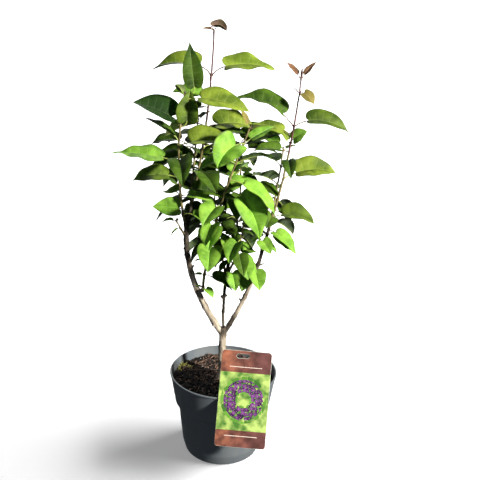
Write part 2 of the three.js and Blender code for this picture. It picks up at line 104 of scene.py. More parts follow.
right, up, forward = camera_axes(PITCH, YAW, LEAN)
camera = link_new("camera", bpy.data.cameras.new("camera"))
camera.matrix_world = stood(right, up, -forward, EYE)
camera.data.sensor_width, camera.data.lens = SENSOR, LENS
bpy.context.scene.camera = camera
bpy.context.scene.view_settings.view_transform = "Standard"
print("camera at", EYE, "with a", LENS, "mm lens")

# %% [markdown]
# ## Helpers for meshes
#
# Most pieces here are many small shapes of one kind joined into one mesh, such as all leaves of one
# colour. A `Bundle` collects their corners and faces as arrays. It is quicker than joining objects
# and leaves nothing behind. It can carry numbers for each corner, which materials read later.


# %% Collect shapes and make pieces
class Bundle:
    """Shapes that become one mesh: corners in mm, faces as index arrays, and named corner values."""

    def __init__(self):
        self.corners, self.faces, self.finishes, self.values, self.count = [], [], [], {}, 0

    def add(self, corners, faces, finish=0, **values):
        """Adds corners (n, 3) and a list of face arrays (m, 3 or 4), all with one material's number."""
        corners = np.asarray(corners, float).reshape(-1, 3)
        self.corners.append(corners)
        for block in faces:
            self.faces.extend((np.asarray(block) + self.count).tolist())
            self.finishes.append(np.full(len(block), finish))
        for name, value in values.items():
            self.values.setdefault(name, []).append(np.broadcast_to(value, len(corners)).ravel())
        self.count += len(corners)
        return self

    def mesh(self, name):
        """The collected shapes as a Blender mesh in metres."""
        mesh = bpy.data.meshes.new(name)
        mesh.from_pydata((np.concatenate(self.corners) * MM).tolist(), [], self.faces)
        mesh.polygons.foreach_set("material_index", np.concatenate(self.finishes).astype(np.int32))
        for value_name, parts in self.values.items():
            layer = mesh.attributes.new(value_name, "FLOAT", "POINT")
            layer.data.foreach_set("value", np.concatenate(parts).astype(np.float32))
        return mesh


def make_piece(name, mesh, materials, stands_for=(), sharp=40):
    """Links a mesh as a piece that rides on the part's one body. Edges over `sharp` degrees stay
    crisp, all others are smooth."""
    piece = link_new(name, mesh)
    for material in materials:
        mesh.materials.append(material)
    mesh.shade_smooth()
    mesh.set_sharp_from_angle(angle=sharp * DEG)
    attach(piece, "root")
    if stands_for:
        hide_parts(*stands_for)
    mesh.calc_loop_triangles()
    print(f"{name}: {len(mesh.loop_triangles)} triangles")
    return piece


# %% [markdown]
# Three shapes come back again and again: a tube along a path, for stems and fibres, a turned shape,
# for the pot, and a smooth random height, for everything that is lumpy. Blender has a curve bevel,
# a Screw modifier and noise textures for them, but as arrays they can be mixed freely.


# %% Tube, turned shape and noise
def unit(vectors):
    """Vectors scaled to length one."""
    return vectors / np.maximum(np.linalg.norm(vectors, axis=-1, keepdims=True), 1e-9)


def ring_faces(rows, sides):
    """Faces that close `rows` rings of corners: walls from ring to ring, and at either end a fan
    to one more corner. Those two corners come after all the rings."""
    low = (np.arange(rows - 1)[:, None] * sides + np.arange(sides)).ravel()
    beside = low - low % sides + (low + 1) % sides
    k, last, end = np.arange(sides), (rows - 1) * sides, rows * sides
    return [np.stack([low, beside, beside + sides, low + sides], 1),
            np.stack([np.full(sides, end), (k + 1) % sides, k], 1),
            np.stack([np.full(sides, end + 1), last + k, last + (k + 1) % sides], 1)]


def tube(path, radii, sides):
    """A closed tube. Round each point of the path stands a ring of corners, at the point plus
    radius times (across times cosine, plus up times sine); both ends close on the path."""
    path, radii = np.asarray(path, float), np.asarray(radii, float)
    along = unit(np.gradient(path, axis=0))
    across = unit(np.cross([0, 1, 0.01], along))
    over = np.cross(along, across)
    turn = np.arange(sides) * 2 * np.pi / sides
    ring = across[:, None] * np.cos(turn)[:, None] + over[:, None] * np.sin(turn)[:, None]
    corners = (path[:, None] + ring * radii.reshape(len(path), -1, 1)).reshape(-1, 3)
    return np.vstack([corners, path[:1], path[-1:]]), ring_faces(len(path), sides)


def turned(profile, segments):
    """A shape turned about Z: each (radius, height) of the profile becomes a ring, and its two
    ends lie on the axis, where they close the shape."""
    profile = np.asarray(profile, float)
    turn = np.arange(segments) * 2 * np.pi / segments
    r, z = profile[1:-1, 0][:, None], profile[1:-1, 1][:, None]
    rings = np.stack([r * np.cos(turn), r * np.sin(turn), z + 0 * turn], -1).reshape(-1, 3)
    poles = [[0, 0, profile[0, 1]], [0, 0, profile[-1, 1]]]
    return np.vstack([rings, poles]), ring_faces(len(profile) - 2, segments)


NOISE_TABLE = np.random.default_rng(11).uniform(-1, 1, 8192)


def noise(points, cell):
    """Smooth random heights from -1 to 1: each corner of a lattice has a number picked by its
    place, and between corners the numbers are blended with an S-shaped curve."""
    place = np.asarray(points, float) / cell
    corner = np.floor(place).astype(np.int64)
    part = place - corner
    part = part * part * (3 - 2 * part)
    total = np.zeros(len(place))
    for step in np.ndindex(2, 2, 2):
        x, y, z = (corner + step).T
        number = NOISE_TABLE[(x * 73856093 ^ y * 19349663 ^ z * 83492791) % len(NOISE_TABLE)]
        total += number * np.prod(np.where(step, part, 1 - part), axis=1)
    return total


# %% [markdown]
# ## Shared finishes
#
# Bark, compost, plastic and card are all uneven in the same way: two colours mix in soft patches,
# and the surface has a grain that follows the patches. One node group holds that, and every
# material gives it its own scale and colours. Numbers that are the same all over, such as the
# plastic's roughness, stay on each material's own shader. Nodes can be added and joined one line
# at a time, but a small class that does both at once keeps each finish short enough to read.

# %% Add and join nodes
class Net:
    """The nodes of a material or of a group, with short ways to add the usual ones. What goes into
    a node is the socket of another one, a number, or three numbers."""

    def __init__(self, tree):
        self.nodes, self.links = tree.nodes, tree.links

    def feed(self, value, socket):
        """Joins an input to a socket, or sets it; a colour gets its fourth number."""
        if isinstance(value, bpy.types.NodeSocket):
            self.links.new(value, socket)
        else:
            socket.default_value = (*value, 1.0) if socket.type == "RGBA" else value

    def new(self, kind, inputs=None, **settings):
        """A node with its settings, and what goes into it by name or by number."""
        node = self.nodes.new("ShaderNode" + kind)
        for setting, value in settings.items():
            setattr(node, setting, value)
        for name, value in (inputs or {}).items():
            self.feed(value, node.inputs[name])
        return node

    def math(self, operation, *inputs):
        """One number from others."""
        return self.new("Math", dict(enumerate(inputs)), operation=operation).outputs[0]

    def mix(self, factor, below, above):
        """One colour from two: below where the factor is 0, above where it is 1."""
        inputs = {"Factor": factor, "A": below, "B": above}
        return self.new("Mix", inputs, data_type="RGBA").outputs["Result"]

    def ramp(self, value, start, end, low=0.0, high=1.0, shape="LINEAR"):
        """A value moved from start..end to low..high, and held beyond them."""
        inputs = {"Value": value, "From Min": start, "From Max": end, "To Min": low, "To Max": high}
        return self.new("MapRange", inputs, interpolation_type=shape).outputs["Result"]

    def place(self):
        """Object coordinates."""
        return self.new("TexCoord").outputs["Object"]

    def attribute(self, name):
        """A number that every corner of the mesh carries."""
        return self.new("Attribute", attribute_name=name).outputs["Fac"]

    def patches(self, dark, light, scale, detail=4.0, spread=0.2, stretch=(1, 1, 1)):
        """The patches on Object coordinates, stretched along each axis."""
        place = self.new("Mapping", {"Vector": self.place(), "Scale": stretch}).outputs["Vector"]
        inputs = {"Vector": place, "Scale": scale, "Detail": detail, "Spread": spread, "Dark": dark,
                  "Light": light}
        return self.new("Group", inputs, node_tree=PATCHES)

    def bump(self, shader, height, depth_mm):
        """Bends the shader's normal by a height, as if it stood that many millimetres high."""
        bump = self.new("Bump", {"Height": height, "Distance": depth_mm * MM})
        self.links.new(bump.outputs["Normal"], shader.inputs["Normal"])


# %% Build the shared node group
def new_group(name, inputs, outputs):
    """An empty group with its sockets, given as name: kind, then its net and its two ends."""
    group = bpy.data.node_groups.new(name, "ShaderNodeTree")
    for way, sockets in (("INPUT", inputs), ("OUTPUT", outputs)):
        for socket, kind in sockets.items():
            group.interface.new_socket(socket, in_out=way, socket_type="NodeSocket" + kind)
    return group, Net(group), group.nodes.new("NodeGroupInput"), group.nodes.new("NodeGroupOutput")


def make_patches():
    """Noise on the given coordinates, stretched so that 0.5 less and more the spread become 0 and
    1, picks a colour between Dark and Light. The noise also comes out as a height for a bump."""
    group, net, given, result = new_group(
        "patches", {"Vector": "Vector", "Scale": "Float", "Detail": "Float", "Spread": "Float",
                    "Dark": "Color", "Light": "Color"}, {"Color": "Color", "Height": "Float"})
    read = given.outputs
    cloud = net.new("TexNoise", {name: read[name] for name in ("Vector", "Scale", "Detail")})
    low, high = net.math("SUBTRACT", 0.5, read["Spread"]), net.math("ADD", 0.5, read["Spread"])
    between = net.ramp(cloud.outputs["Fac"], low, high)
    net.links.new(net.mix(between, read["Dark"], read["Light"]), result.inputs["Color"])
    net.links.new(cloud.outputs["Fac"], result.inputs["Height"])
    return group


PATCHES = make_patches()


def new_material(name, roughness, **extras):
    """A material with its net and its shader; `extras` are the shader's own sockets, such as coat."""
    material = bpy.data.materials.new(name)
    material.use_nodes = True
    shader = material.node_tree.nodes["Principled BSDF"]
    shader.inputs["Roughness"].default_value = roughness
    for socket, value in extras.items():
        shader.inputs[socket.replace("_", " ")].default_value = value
    return material, Net(material.node_tree), shader


def patchy_material(name, dark, light, scale, roughness, depth_mm, extras=None, **patch_values):
    """A material that is all patches: colour from them, and a bump of the same pattern."""
    material, net, shader = new_material(name, roughness, **(extras or {}))
    patches = net.patches(dark, light, scale, **patch_values)
    net.links.new(patches.outputs["Color"], shader.inputs["Base Color"])
    net.bump(shader, patches.outputs["Height"], depth_mm)
    return material


# %% [markdown]
# ## The pot
#
# A nursery pot is one thin moulded wall: a chamfered foot, a tapering body, a step, a tall collar
# and a rolled lip that keeps it stiff. It could be made with a Screw modifier. Here its outline is
# an array that runs up the outside, over the lip and down the inside, and `turned` spins it.
# Corners are rounded by cutting each one short and putting a curve in its place.

# %% Turn the pot
POT = dict(height=152, wall=1.8, floor=2.4, base=66.8, chamfer_height=18, chamfer=71.8, step_height=90,
           step=79.8, collar_height=97, collar=85.8, rim=94.2, lip=95.2, lip_height=3,
           holes=8, hole_radius=4, hole_circle=50, rounding=1.4)
SEGMENTS = 192


def rounded(points, radius, steps=5):
    """An outline with its corners rounded: each corner is cut short by `radius` on both sides,
    and a parabola (start, corner, end) is drawn through the cut."""
    points = np.asarray(points, float)
    result = [points[:1]]
    for before, corner, after in zip(points, points[1:], points[2:]):
        lengths = np.linalg.norm(before - corner), np.linalg.norm(after - corner)
        cut = min(radius, *(0.45 * length for length in lengths))
        start = corner + (before - corner) / lengths[0] * cut
        end = corner + (after - corner) / lengths[1] * cut
        t = np.linspace(0, 1, steps)[:, None]
        result.append((1 - t) ** 2 * start + 2 * t * (1 - t) * corner + t ** 2 * end)
    return np.vstack([*result, points[-1:]])


def pot_outline():
    """The wall's outline from the middle of its underside, up, over the lip and back down."""
    top, inner = POT["height"], POT["wall"]
    outside = [(POT["base"], 0), (POT["chamfer"], POT["chamfer_height"]), (POT["step"], POT["step_height"]),
               (POT["collar"], POT["collar_height"]), (POT["rim"], top - POT["lip_height"])]
    lip = [(POT["lip"], top - POT["lip_height"]), (POT["lip"], top), (POT["rim"] - inner, top)]
    inside = [(r - inner, z) for r, z in outside[:0:-1]]
    floor = [(POT["base"] - inner, POT["floor"])]
    corners = [(0, 0), *outside, *lip, *inside, *floor, (0, POT["floor"])]
    return rounded(corners, POT["rounding"])


def finer(outline, longest):
    """The outline with extra points, so that no stretch of it is longer than `longest`."""
    result = [outline[:1]]
    for a, b in zip(outline, outline[1:]):
        count = max(int(np.ceil(np.linalg.norm(b - a) / longest)), 1)
        result.append(a + (b - a) * np.linspace(0, 1, count + 1)[1:, None])
    return np.vstack(result)


def applied(body, name, *tools):
    """The mesh of a body after its modifiers; the body and the tools that cut it are removed."""
    graph = bpy.context.evaluated_depsgraph_get()
    result = bpy.data.meshes.new_from_object(body.evaluated_get(graph))
    for thing in (body, *tools):
        blank = thing.data
        bpy.data.objects.remove(thing)
        bpy.data.meshes.remove(blank)
    result.name = name
    result.materials.clear()
    return result


def drill(mesh, cutter_shapes, name):
    """The mesh with shapes cut out of it by a Boolean modifier, which is applied."""
    cutters = Bundle()
    for corners, faces in cutter_shapes:
        cutters.add(corners, faces)
    body, cutter = link_new(name + "_body", mesh), link_new(name + "_cutter", cutters.mesh("cutter"))
    cut = body.modifiers.new("cut", "BOOLEAN")
    cut.object, cut.operation, cut.solver = cutter, "DIFFERENCE", "EXACT"
    return applied(body, name, cutter)


def drain_holes():
    """Cylinders on a circle, each longer than the floor is thick."""
    turn = np.arange(POT["holes"]) * 2 * np.pi / POT["holes"]
    for x, y in POT["hole_circle"] * np.stack([np.cos(turn), np.sin(turn)], 1):
        yield tube([(x, y, -3), (x, y, 2 * POT["floor"] + 3)], [POT["hole_radius"]] * 2, 24)


def pot_plastic():
    """Dark recycled plastic: satin, faintly cloudy, with dry compost dust in soft patches."""
    material, net, shader = new_material("pot plastic", 0.42, Specular_IOR_Level=0.45)
    cloud = net.patches((0.1, 0.12, 0.14), (0.145, 0.164, 0.178), 18, spread=0.3)
    dust = net.patches((0, 0, 0), (1, 1, 1), 55, detail=8, spread=0.12, stretch=(1, 1, 0.6))
    thin_dust = net.math("MULTIPLY", dust.outputs["Color"], 0.22)
    dusty = net.mix(thin_dust, cloud.outputs["Color"], (0.17, 0.16, 0.145))
    net.links.new(dusty, shader.inputs["Base Color"])
    net.links.new(net.ramp(dust.outputs["Color"], 0, 1, 0.36, 0.62), shader.inputs["Roughness"])
    net.bump(shader, cloud.outputs["Height"], 0.25)
    return material


shell = Bundle().add(*turned(finer(pot_outline(), 6), SEGMENTS)).mesh("pot_blank")
make_piece("pot_shell", drill(shell, drain_holes(), "pot_shell"), [pot_plastic()],
           ["pot"], sharp=50)

# %% [markdown]
# ## The compost
#
# Potting compost is a dark heap of fibres: peat, coir strands and bits of bark, with a few
# pale grains of grit and a tuft of moss by the wall. A displaced plane alone looks like mud, so a
# lumpy heap comes first, and hundreds of loose chips and strands lie on it.

# %% Heap the compost
SOIL = dict(top=136, edge=133, flat=16, lump=1.6, rings=80, segments=220, reach=88)
TRUNK_X = -3
GAP = 0.3


def soil_height(x, y):
    """The heap's height: level at the trunk, gentle waves further out, and fine lumps on them."""
    from_trunk = np.hypot(x - TRUNK_X, y)
    rough = np.clip((from_trunk - SOIL["flat"]) / 20, 0, 1)
    waves = np.sin(x * 0.19 + 1.3) * np.cos(y * 0.23) + 0.6 * np.sin(x * 0.41 - y * 0.37)
    place = np.stack([x, y, 0 * x], -1).reshape(-1, 3)
    lumps = (1.5 * noise(place, 7) + 0.9 * noise(place + 50, 2.6)).reshape(np.shape(x))
    return SOIL["top"] + SOIL["lump"] * rough * waves + (0.35 + 0.65 * rough) * lumps


def inner_radius(z, inset):
    """The radius inside the pot's wall at height z, `inset` mm in from its outside."""
    heights = [0, POT["chamfer_height"], POT["step_height"], POT["collar_height"],
               POT["height"] - POT["lip_height"]]
    radii = [POT["base"], POT["chamfer"], POT["step"], POT["collar"], POT["rim"]]
    return np.interp(z, heights, radii) - inset


def soil_heap():
    """A closed heap: up along the pot's wall, then inwards over the lumpy top, ring by ring. Only
    the corner in the middle of its underside, the last but one, is kept out of the lumps."""
    inset, bottom = POT["wall"] + GAP, POT["floor"] + GAP
    levels = bottom, POT["chamfer_height"], 60, POT["step_height"], POT["collar_height"], SOIL["edge"] - 2
    wall = [(inner_radius(z, inset), z) for z in levels]
    edge = inner_radius(SOIL["edge"], inset)
    inwards = [(edge * share, 0) for share in np.linspace(1, 0.01, SOIL["rings"])]
    corners, faces = turned([(0, bottom), *wall, *inwards, (0, 0)], SOIL["segments"])
    top = slice(len(wall) * SOIL["segments"], None)
    corners[top, 2] = soil_height(corners[top, 0], corners[top, 1])
    corners[-2, 2] = bottom
    return corners, faces


compost = patchy_material("compost", (0.003, 0.002, 0.0015), (0.016, 0.01, 0.007), 420, 0.95, 1.2,
                          detail=8, spread=0.16)
make_piece("soil_heap", Bundle().add(*soil_heap()).mesh("soil_heap"), [compost],
           ["potting_soil"], sharp=180)

# %% [markdown]
# A chip is a splinter of bark: a box with uneven ends. A strand is a thin bent tube. Both kinds are
# made hundreds at a time as whole arrays: one array of centres, one of directions, one of
# sizes, and the corners follow by adding them up.


# %% Scatter chips, strands, grit and moss
def scattered(random, count, most=84.0, least=11.0):
    """Places on the heap, evenly spread between two distances from the trunk."""
    away = np.sqrt(random.uniform((least / most) ** 2, 1, count)) * most
    turn = random.uniform(0, 2 * np.pi, count)
    return away * np.cos(turn), away * np.sin(turn)


BOX_FACES = np.array([[0, 3, 2, 1], [4, 5, 6, 7], [0, 1, 5, 4], [1, 2, 6, 5], [2, 3, 7, 6], [3, 0, 4, 7]])


def splinters(random, x, y, length, width, thick, lift):
    """Boxes with uneven ends, lying on the heap at (x, y): corner = centre + end direction times
    half the length + side times width + over times thickness, each end with its own width."""
    count = len(x)
    turn, tip = random.uniform(0, 2 * np.pi, count), random.normal(0, 0.28, count)
    along = np.stack([np.cos(turn) * np.cos(tip), np.sin(turn) * np.cos(tip), np.sin(tip)], -1)
    side = np.stack([-np.sin(turn), np.cos(turn), random.normal(0, 0.35, count)], -1)
    over = unit(np.cross(along, side))
    centre = np.stack([x, y, soil_height(x, y) + lift], -1)
    ends = np.array([-1, -1, -1, -1, 1, 1, 1, 1]) * 0.5
    sides = np.array([-1, 1, 1, -1] * 2) * 0.5
    overs = np.array([-1, -1, 1, 1] * 2) * 0.5
    uneven = random.uniform(0.25, 1.0, (count, 8))
    corners = (centre[:, None]
               + along[:, None] * (ends * length[:, None] * random.uniform(0.75, 1, (count, 8)))[..., None]
               + side[:, None] * (sides * width[:, None] * uneven)[..., None]
               + over[:, None] * (overs * thick[:, None] * uneven)[..., None])
    faces = (np.arange(count)[:, None, None] * 8 + BOX_FACES).reshape(-1, 4)
    return corners.reshape(-1, 3), [faces]


def strand(random, x, y, length):
    """One fibre: a path whose bearing is a running sum of small random turns, arched by half a
    sine and kept inside the pot, with a hair-thin tube along it."""
    steps = 6
    bend = random.normal(0, 0.45, steps).cumsum() + random.uniform(0, 2 * np.pi)
    path = np.zeros((steps, 3))
    path[:, 0] = x + np.cumsum(np.cos(bend)) * length / steps
    path[:, 1] = y + np.cumsum(np.sin(bend)) * length / steps
    away = np.hypot(path[:, 0], path[:, 1])
    path[:, :2] *= np.minimum(1, SOIL["reach"] / np.maximum(away, 1))[:, None]
    path[:, 2] = soil_height(path[:, 0], path[:, 1]) + 0.6 + np.sin(np.linspace(0, np.pi, steps)) * 1.8
    return tube(path, np.array([0.12, 0.4, 0.5, 0.45, 0.35, 0.1]) * random.uniform(0.6, 1.2), 5)


random = np.random.default_rng(5)
CHIP_COLOURS = {"dark": ((0.003, 0.002, 0.0015), (0.011, 0.006, 0.004)),
                "brown": ((0.006, 0.003, 0.002), (0.03, 0.014, 0.01)),
                "tan": ((0.2, 0.12, 0.08), (0.45, 0.3, 0.22))}
CHIP_COUNTS = {"dark": 1700, "brown": 480, "tan": 36}
for tone, (dark, light) in CHIP_COLOURS.items():
    x, y = scattered(random, CHIP_COUNTS[tone])
    size = random.gamma(3, 1.7, len(x)) + 1.5
    chips = splinters(random, x, y, np.minimum(size, 15), 0.6 + 0.2 * size, 0.4 + 0.08 * size, 0.5)
    finish = patchy_material(f"{tone} chips", dark, light, 300, 0.9, 0.3)
    make_piece(f"soil_chips_{tone}", Bundle().add(*chips).mesh(f"soil_chips_{tone}"), [finish],
               sharp=20)

strands = Bundle()
x, y = scattered(random, 620)
# Only a quarter of the pale strands at the front left are kept, so that this part of the compost is darker:
# a painted shade.
thick = (x + y > -45) | (random.uniform(0, 1, len(x)) < 0.25)
for x, y in zip(x[thick], y[thick]):
    strands.add(*strand(random, x, y, random.uniform(8, 24)))
fibre = patchy_material("coir fibre", (0.06, 0.028, 0.018), (0.44, 0.27, 0.19), 120, 0.85, 0.1)
make_piece("soil_strands", strands.mesh("soil_strands"), [fibre], sharp=60)

x, y = scattered(random, 90)
grains = splinters(random, x, y, random.uniform(1, 2.4, 90), random.uniform(1, 2, 90),
                   random.uniform(0.8, 1.6, 90), 0.9)
grit = patchy_material("grit", (0.35, 0.33, 0.3), (0.7, 0.68, 0.62), 300, 0.8, 0.2)
make_piece("soil_grit", Bundle().add(*grains).mesh("soil_grit"), [grit], sharp=20)

# Tufts of moss: the x and y of each one's middle, how wide it is, and how many blades it has.
MOSS_SPOTS = [(-74, 40, 8, 34), (-64, 33, 6, 15), (-80, 26, 5, 9)]
tufts = Bundle()
for middle_x, middle_y, wide, count in MOSS_SPOTS:
    for _ in range(count):
        foot_x, foot_y = middle_x + random.normal(0, wide / 2), middle_y + random.normal(0, wide / 2)
        tall, lean_x, lean_y = random.uniform(2, 6), random.normal(0, 1.4), random.normal(0, 1.4)
        ground = soil_height(np.array([foot_x]), np.array([foot_y]))[0]
        t = np.linspace(0, 1, 4)[:, None]
        blade_path = [foot_x, foot_y, ground] + t * [lean_x, lean_y, tall] + t ** 2 * [lean_x, lean_y, 0]
        tufts.add(*tube(blade_path, [0.5, 0.8, 0.55, 0.1], 4))
moss = patchy_material("moss", (0.22, 0.22, 0.03), (0.66, 0.62, 0.2), 260, 0.8, 0.2)
make_piece("moss_tufts", tufts.mesh("moss_tufts"), [moss], sharp=60)

# %% [markdown]
# ## The plant tag
#
# The tag is a stiff printed card with round corners and a slot to hang it by. A tongue behind it
# hooks over the pot's rim, so that the card leans back. A card with a hole is an outline in an
# outline, which Blender's own `tessellate_polygon` can fill. The same outline, drawn a little
# smaller, makes the thin printed film on its front, so that the white core shows along the edge.

# %% Cut the card
TAG = dict(width=84, height=157, thick=1.2, corner=5, lean=26 * DEG, turn=3.5 * DEG, middle=34.5,
           slot_width=22, slot_height=7, slot_drop=9, slot_shift=-6, clip_width=13, clip_drop=12,
           clip_shift=-12, clip_thick=1.4, clip_sunk=0.4, print_thick=0.1, print_inset=0.35,
           head=36, foot=27, rule_gap=9, rule_thick=1.0, rule_length=54)


def arc(x, y, radius, first, last, steps=9):
    """Points on an arc round (x, y), from one angle in degrees to another."""
    turn = np.linspace(first, last, steps) * DEG
    return np.stack([x + radius * np.cos(turn), y + radius * np.sin(turn)], 1)


def card_outlines(inset):
    """The card's outer outline and its slot, both drawn in by `inset` from the cut edges."""
    w, h, r = TAG["width"] / 2 - inset, TAG["height"] / 2 - inset, TAG["corner"]
    outer = np.vstack([arc(w - r, -h + r, r, -90, 0), arc(w - r, h - r, r, 0, 90),
                       arc(-w + r, h - r, r, 90, 180), arc(-w + r, -h + r, r, 180, 270)])
    end = TAG["slot_height"] / 2 + inset
    reach = TAG["slot_width"] / 2 - TAG["slot_height"] / 2
    x, y = TAG["slot_shift"], TAG["height"] / 2 - TAG["slot_drop"]
    slot = np.vstack([arc(x + reach, y, end, -90, 90), arc(x - reach, y, end, 90, 270)])
    return outer, slot[::-1]


def card_solid(inset, low, high, edge):
    """A flat card between two heights: both outlines at each height, faces filled between outer
    and slot, walls round both, and the outer edge eased by a small chamfer."""
    outlines = card_outlines(inset)
    eased = card_outlines(inset + edge)
    flat = [[(*p, 0.0) for p in outline] for outline in eased]
    fill = np.array(tessellate_polygon(flat))
    rims = [eased, outlines, outlines, eased]
    heights = [low, low + edge, high - edge, high]
    count = sum(len(outline) for outline in outlines)
    corners = np.vstack([np.column_stack([np.vstack(rim), np.full(count, z)])
                         for rim, z in zip(rims, heights)])
    first = corners[fill[:, 1]] - corners[fill[:, 0]]
    second = corners[fill[:, 2]] - corners[fill[:, 0]]
    up_facing = np.cross(first, second)[:, 2] > 0
    fill = np.where(up_facing[:, None], fill, fill[:, ::-1])
    faces = [fill[:, ::-1], fill + 3 * count]
    start = 0
    for outline in outlines:
        n = len(outline)
        k = np.arange(n)
        for level in range(3):
            low_ring = level * count + start + k
            next_ring = level * count + start + (k + 1) % n
            faces.append(np.stack([low_ring, next_ring, next_ring + count, low_ring + count], 1))
        start += n
    return corners, faces


def stand_card(corners):
    """Flat card to its stand: turned in its own plane, raised upright, leaned back, moved out."""
    turn, raised = -TAG["turn"], np.pi / 2 - TAG["lean"]
    x = corners[:, 0] * np.cos(turn) - corners[:, 1] * np.sin(turn)
    y = corners[:, 0] * np.sin(turn) + corners[:, 1] * np.cos(turn)
    z = corners[:, 2]
    out = POT["lip"] + GAP / np.cos(TAG["lean"])
    return np.stack([x + TAG["middle"], y * np.cos(raised) - z * np.sin(raised) - out,
                     y * np.sin(raised) + z * np.cos(raised) + POT["height"]], -1)


def box(low, high):
    """A box between two corners."""
    corners = np.array([[x, y, z] for z in (low[2], high[2]) for x, y in
                        [(low[0], low[1]), (high[0], low[1]), (high[0], high[1]), (low[0], high[1])]])
    return corners, [BOX_FACES]


def clip_boxes():
    """The strip over the rim and the tongue down inside it."""
    t, x = TAG["clip_thick"], TAG["middle"] + TAG["clip_shift"]
    half = TAG["clip_width"] / 2
    front = -POT["lip"] - GAP / np.cos(TAG["lean"]) - TAG["clip_sunk"]
    wall = -np.sqrt(inner_radius(POT["height"] - TAG["clip_drop"], POT["wall"]) ** 2 - (x + half) ** 2)
    back, z = wall + GAP + t, POT["height"] + GAP
    yield box((x - half, front, z), (x + half, back, z + t))
    yield box((x - half, back - t, z + t - TAG["clip_drop"]), (x + half, back, z + 0.2))


card = Bundle()
corners, faces = card_solid(0, 0, TAG["thick"] - TAG["print_thick"], 0.25)
card.add(stand_card(corners), faces)
for corners, faces in clip_boxes():
    card.add(corners, faces)
card_stock = patchy_material("card stock", (0.62, 0.6, 0.55), (0.74, 0.72, 0.68), 60, 0.5, 0.05)
make_piece("tag_card", card.mesh("tag_card"), [card_stock], ["plant_tag"], sharp=30)

# %% [markdown]
# The print is a plain design of the usual kind: a mottled brown band at the head and the foot, and
# between them a garland of four-petalled florets on a lime ground. It could be painted by hand, but
# a pattern of cells does it in nodes: each cell of a Voronoi texture gives the place of its floret,
# and the angle round that place cuts four petals.


# %% Print the film
def florets(net, place, size, petals, reach, shift):
    """Florets, one to a cell: inside where the distance from the cell's point is below
    reach times (0.5 + 0.5 |cos(petals / 2 times the angle)|), and each is turned at random.
    Returns the mask, the cell's random value and the distance from the point."""
    moved = net.new("VectorMath", {0: place, 1: (shift, shift, 0)}, operation="ADD").outputs[0]
    cells = net.new("TexVoronoi", {"Vector": moved, "Scale": 1 / size, "Randomness": 0.55},
                    voronoi_dimensions="2D").outputs
    offset = net.new("VectorMath", {0: moved, 1: cells["Position"]}, operation="SUBTRACT").outputs[0]
    apart = net.new("VectorMath", {0: offset}, operation="LENGTH").outputs["Value"]
    parts = net.new("SeparateXYZ", {0: offset}).outputs
    shade = net.new("SeparateColor", {0: cells["Color"]}).outputs
    turned_by = net.math("MULTIPLY", shade["Green"], 6.28)
    angle = net.math("ADD", net.math("ARCTAN2", parts["Y"], parts["X"]), turned_by)
    wave = net.math("ABSOLUTE", net.math("COSINE", net.math("MULTIPLY", angle, petals / 2)))
    edge = net.math("MULTIPLY_ADD", wave, 0.5 * reach, 0.5 * reach)
    return net.math("LESS_THAN", apart, edge), shade["Red"], apart


def band(net, value, low, high):
    """One between two values and zero elsewhere."""
    return net.math("MULTIPLY", net.math("GREATER_THAN", value, low), net.math("LESS_THAN", value, high))


# The garland's layers, from below: cell size, petals, reach, shift, where it begins and ends from
# its middle, and two colours. The first are leaves, the others florets.
GARLAND = [(13.0, 2, 7.5, 31.0, (10.0, 38.0), (0.03, 0.12, 0.015), (0.14, 0.34, 0.04)),
           (6.0, 4, 3.12, 3.0, (13.0, 33.0), (0.016, 0.003, 0.024), (0.05, 0.008, 0.075)),
           (7.4, 4, 3.848, 77.0, (13.0, 33.0), (0.04, 0.006, 0.06), (0.2, 0.05, 0.25))]


def tag_print():
    """Head and foot bands of mottled brown with a pale rule in each, and the garland between."""
    material, net, shader = new_material("tag print", 0.32, Coat_Weight=0.25, Coat_Roughness=0.15)
    place = net.new("UVMap", uv_map="card_mm").outputs["UV"]
    parts = net.new("SeparateXYZ", {0: place}).outputs
    x, y = parts["X"], parts["Y"]
    ground = net.new("TexNoise", {"Vector": place, "Scale": 0.055, "Detail": 2.5}).outputs["Fac"]
    picture = net.mix(net.ramp(ground, 0.38, 0.6), (0.06, 0.17, 0.025), (0.42, 0.56, 0.15))
    squares = [net.math("POWER", net.math("ABSOLUTE", side), 2.0) for side in (x, net.math("ADD", y, 2.0))]
    from_middle = net.math("SQRT", net.math("ADD", *squares))
    for size, petals, reach, shift, zone, dark, light in GARLAND:
        mask, shade, apart = florets(net, place, size, petals, reach, shift)
        garland = band(net, from_middle, *zone)
        picture = net.mix(net.math("MULTIPLY", mask, garland), picture, net.mix(shade, dark, light))
        if petals == 4:
            eye = net.math("MULTIPLY", net.math("LESS_THAN", apart, 0.07 * size), garland)
            picture = net.mix(eye, picture, (0.5, 0.3, 0.4))

    mottle = net.new("TexNoise", {"Vector": place, "Scale": 0.05, "Detail": 7.0}).outputs["Fac"]
    rust = net.mix(net.ramp(x, -42.0, 20.0), (0.42, 0.15, 0.08), (0.16, 0.06, 0.055))
    brown = net.mix(net.ramp(mottle, 0.36, 0.66), (0.07, 0.026, 0.022), rust)
    head, foot = TAG["height"] / 2 - TAG["head"], TAG["foot"] - TAG["height"] / 2
    bands = net.math("ADD", net.math("GREATER_THAN", y, head), net.math("LESS_THAN", y, foot))
    whole = net.mix(bands, picture, brown)
    short = net.math("LESS_THAN", net.math("ABSOLUTE", x), TAG["rule_length"] / 2)
    for line in (head + TAG["rule_gap"], foot - TAG["rule_gap"]):
        rule = band(net, y, line - TAG["rule_thick"] / 2, line + TAG["rule_thick"] / 2)
        whole = net.mix(net.math("MULTIPLY", rule, short), whole, (0.75, 0.62, 0.55))
    net.links.new(whole, shader.inputs["Base Color"])
    return material


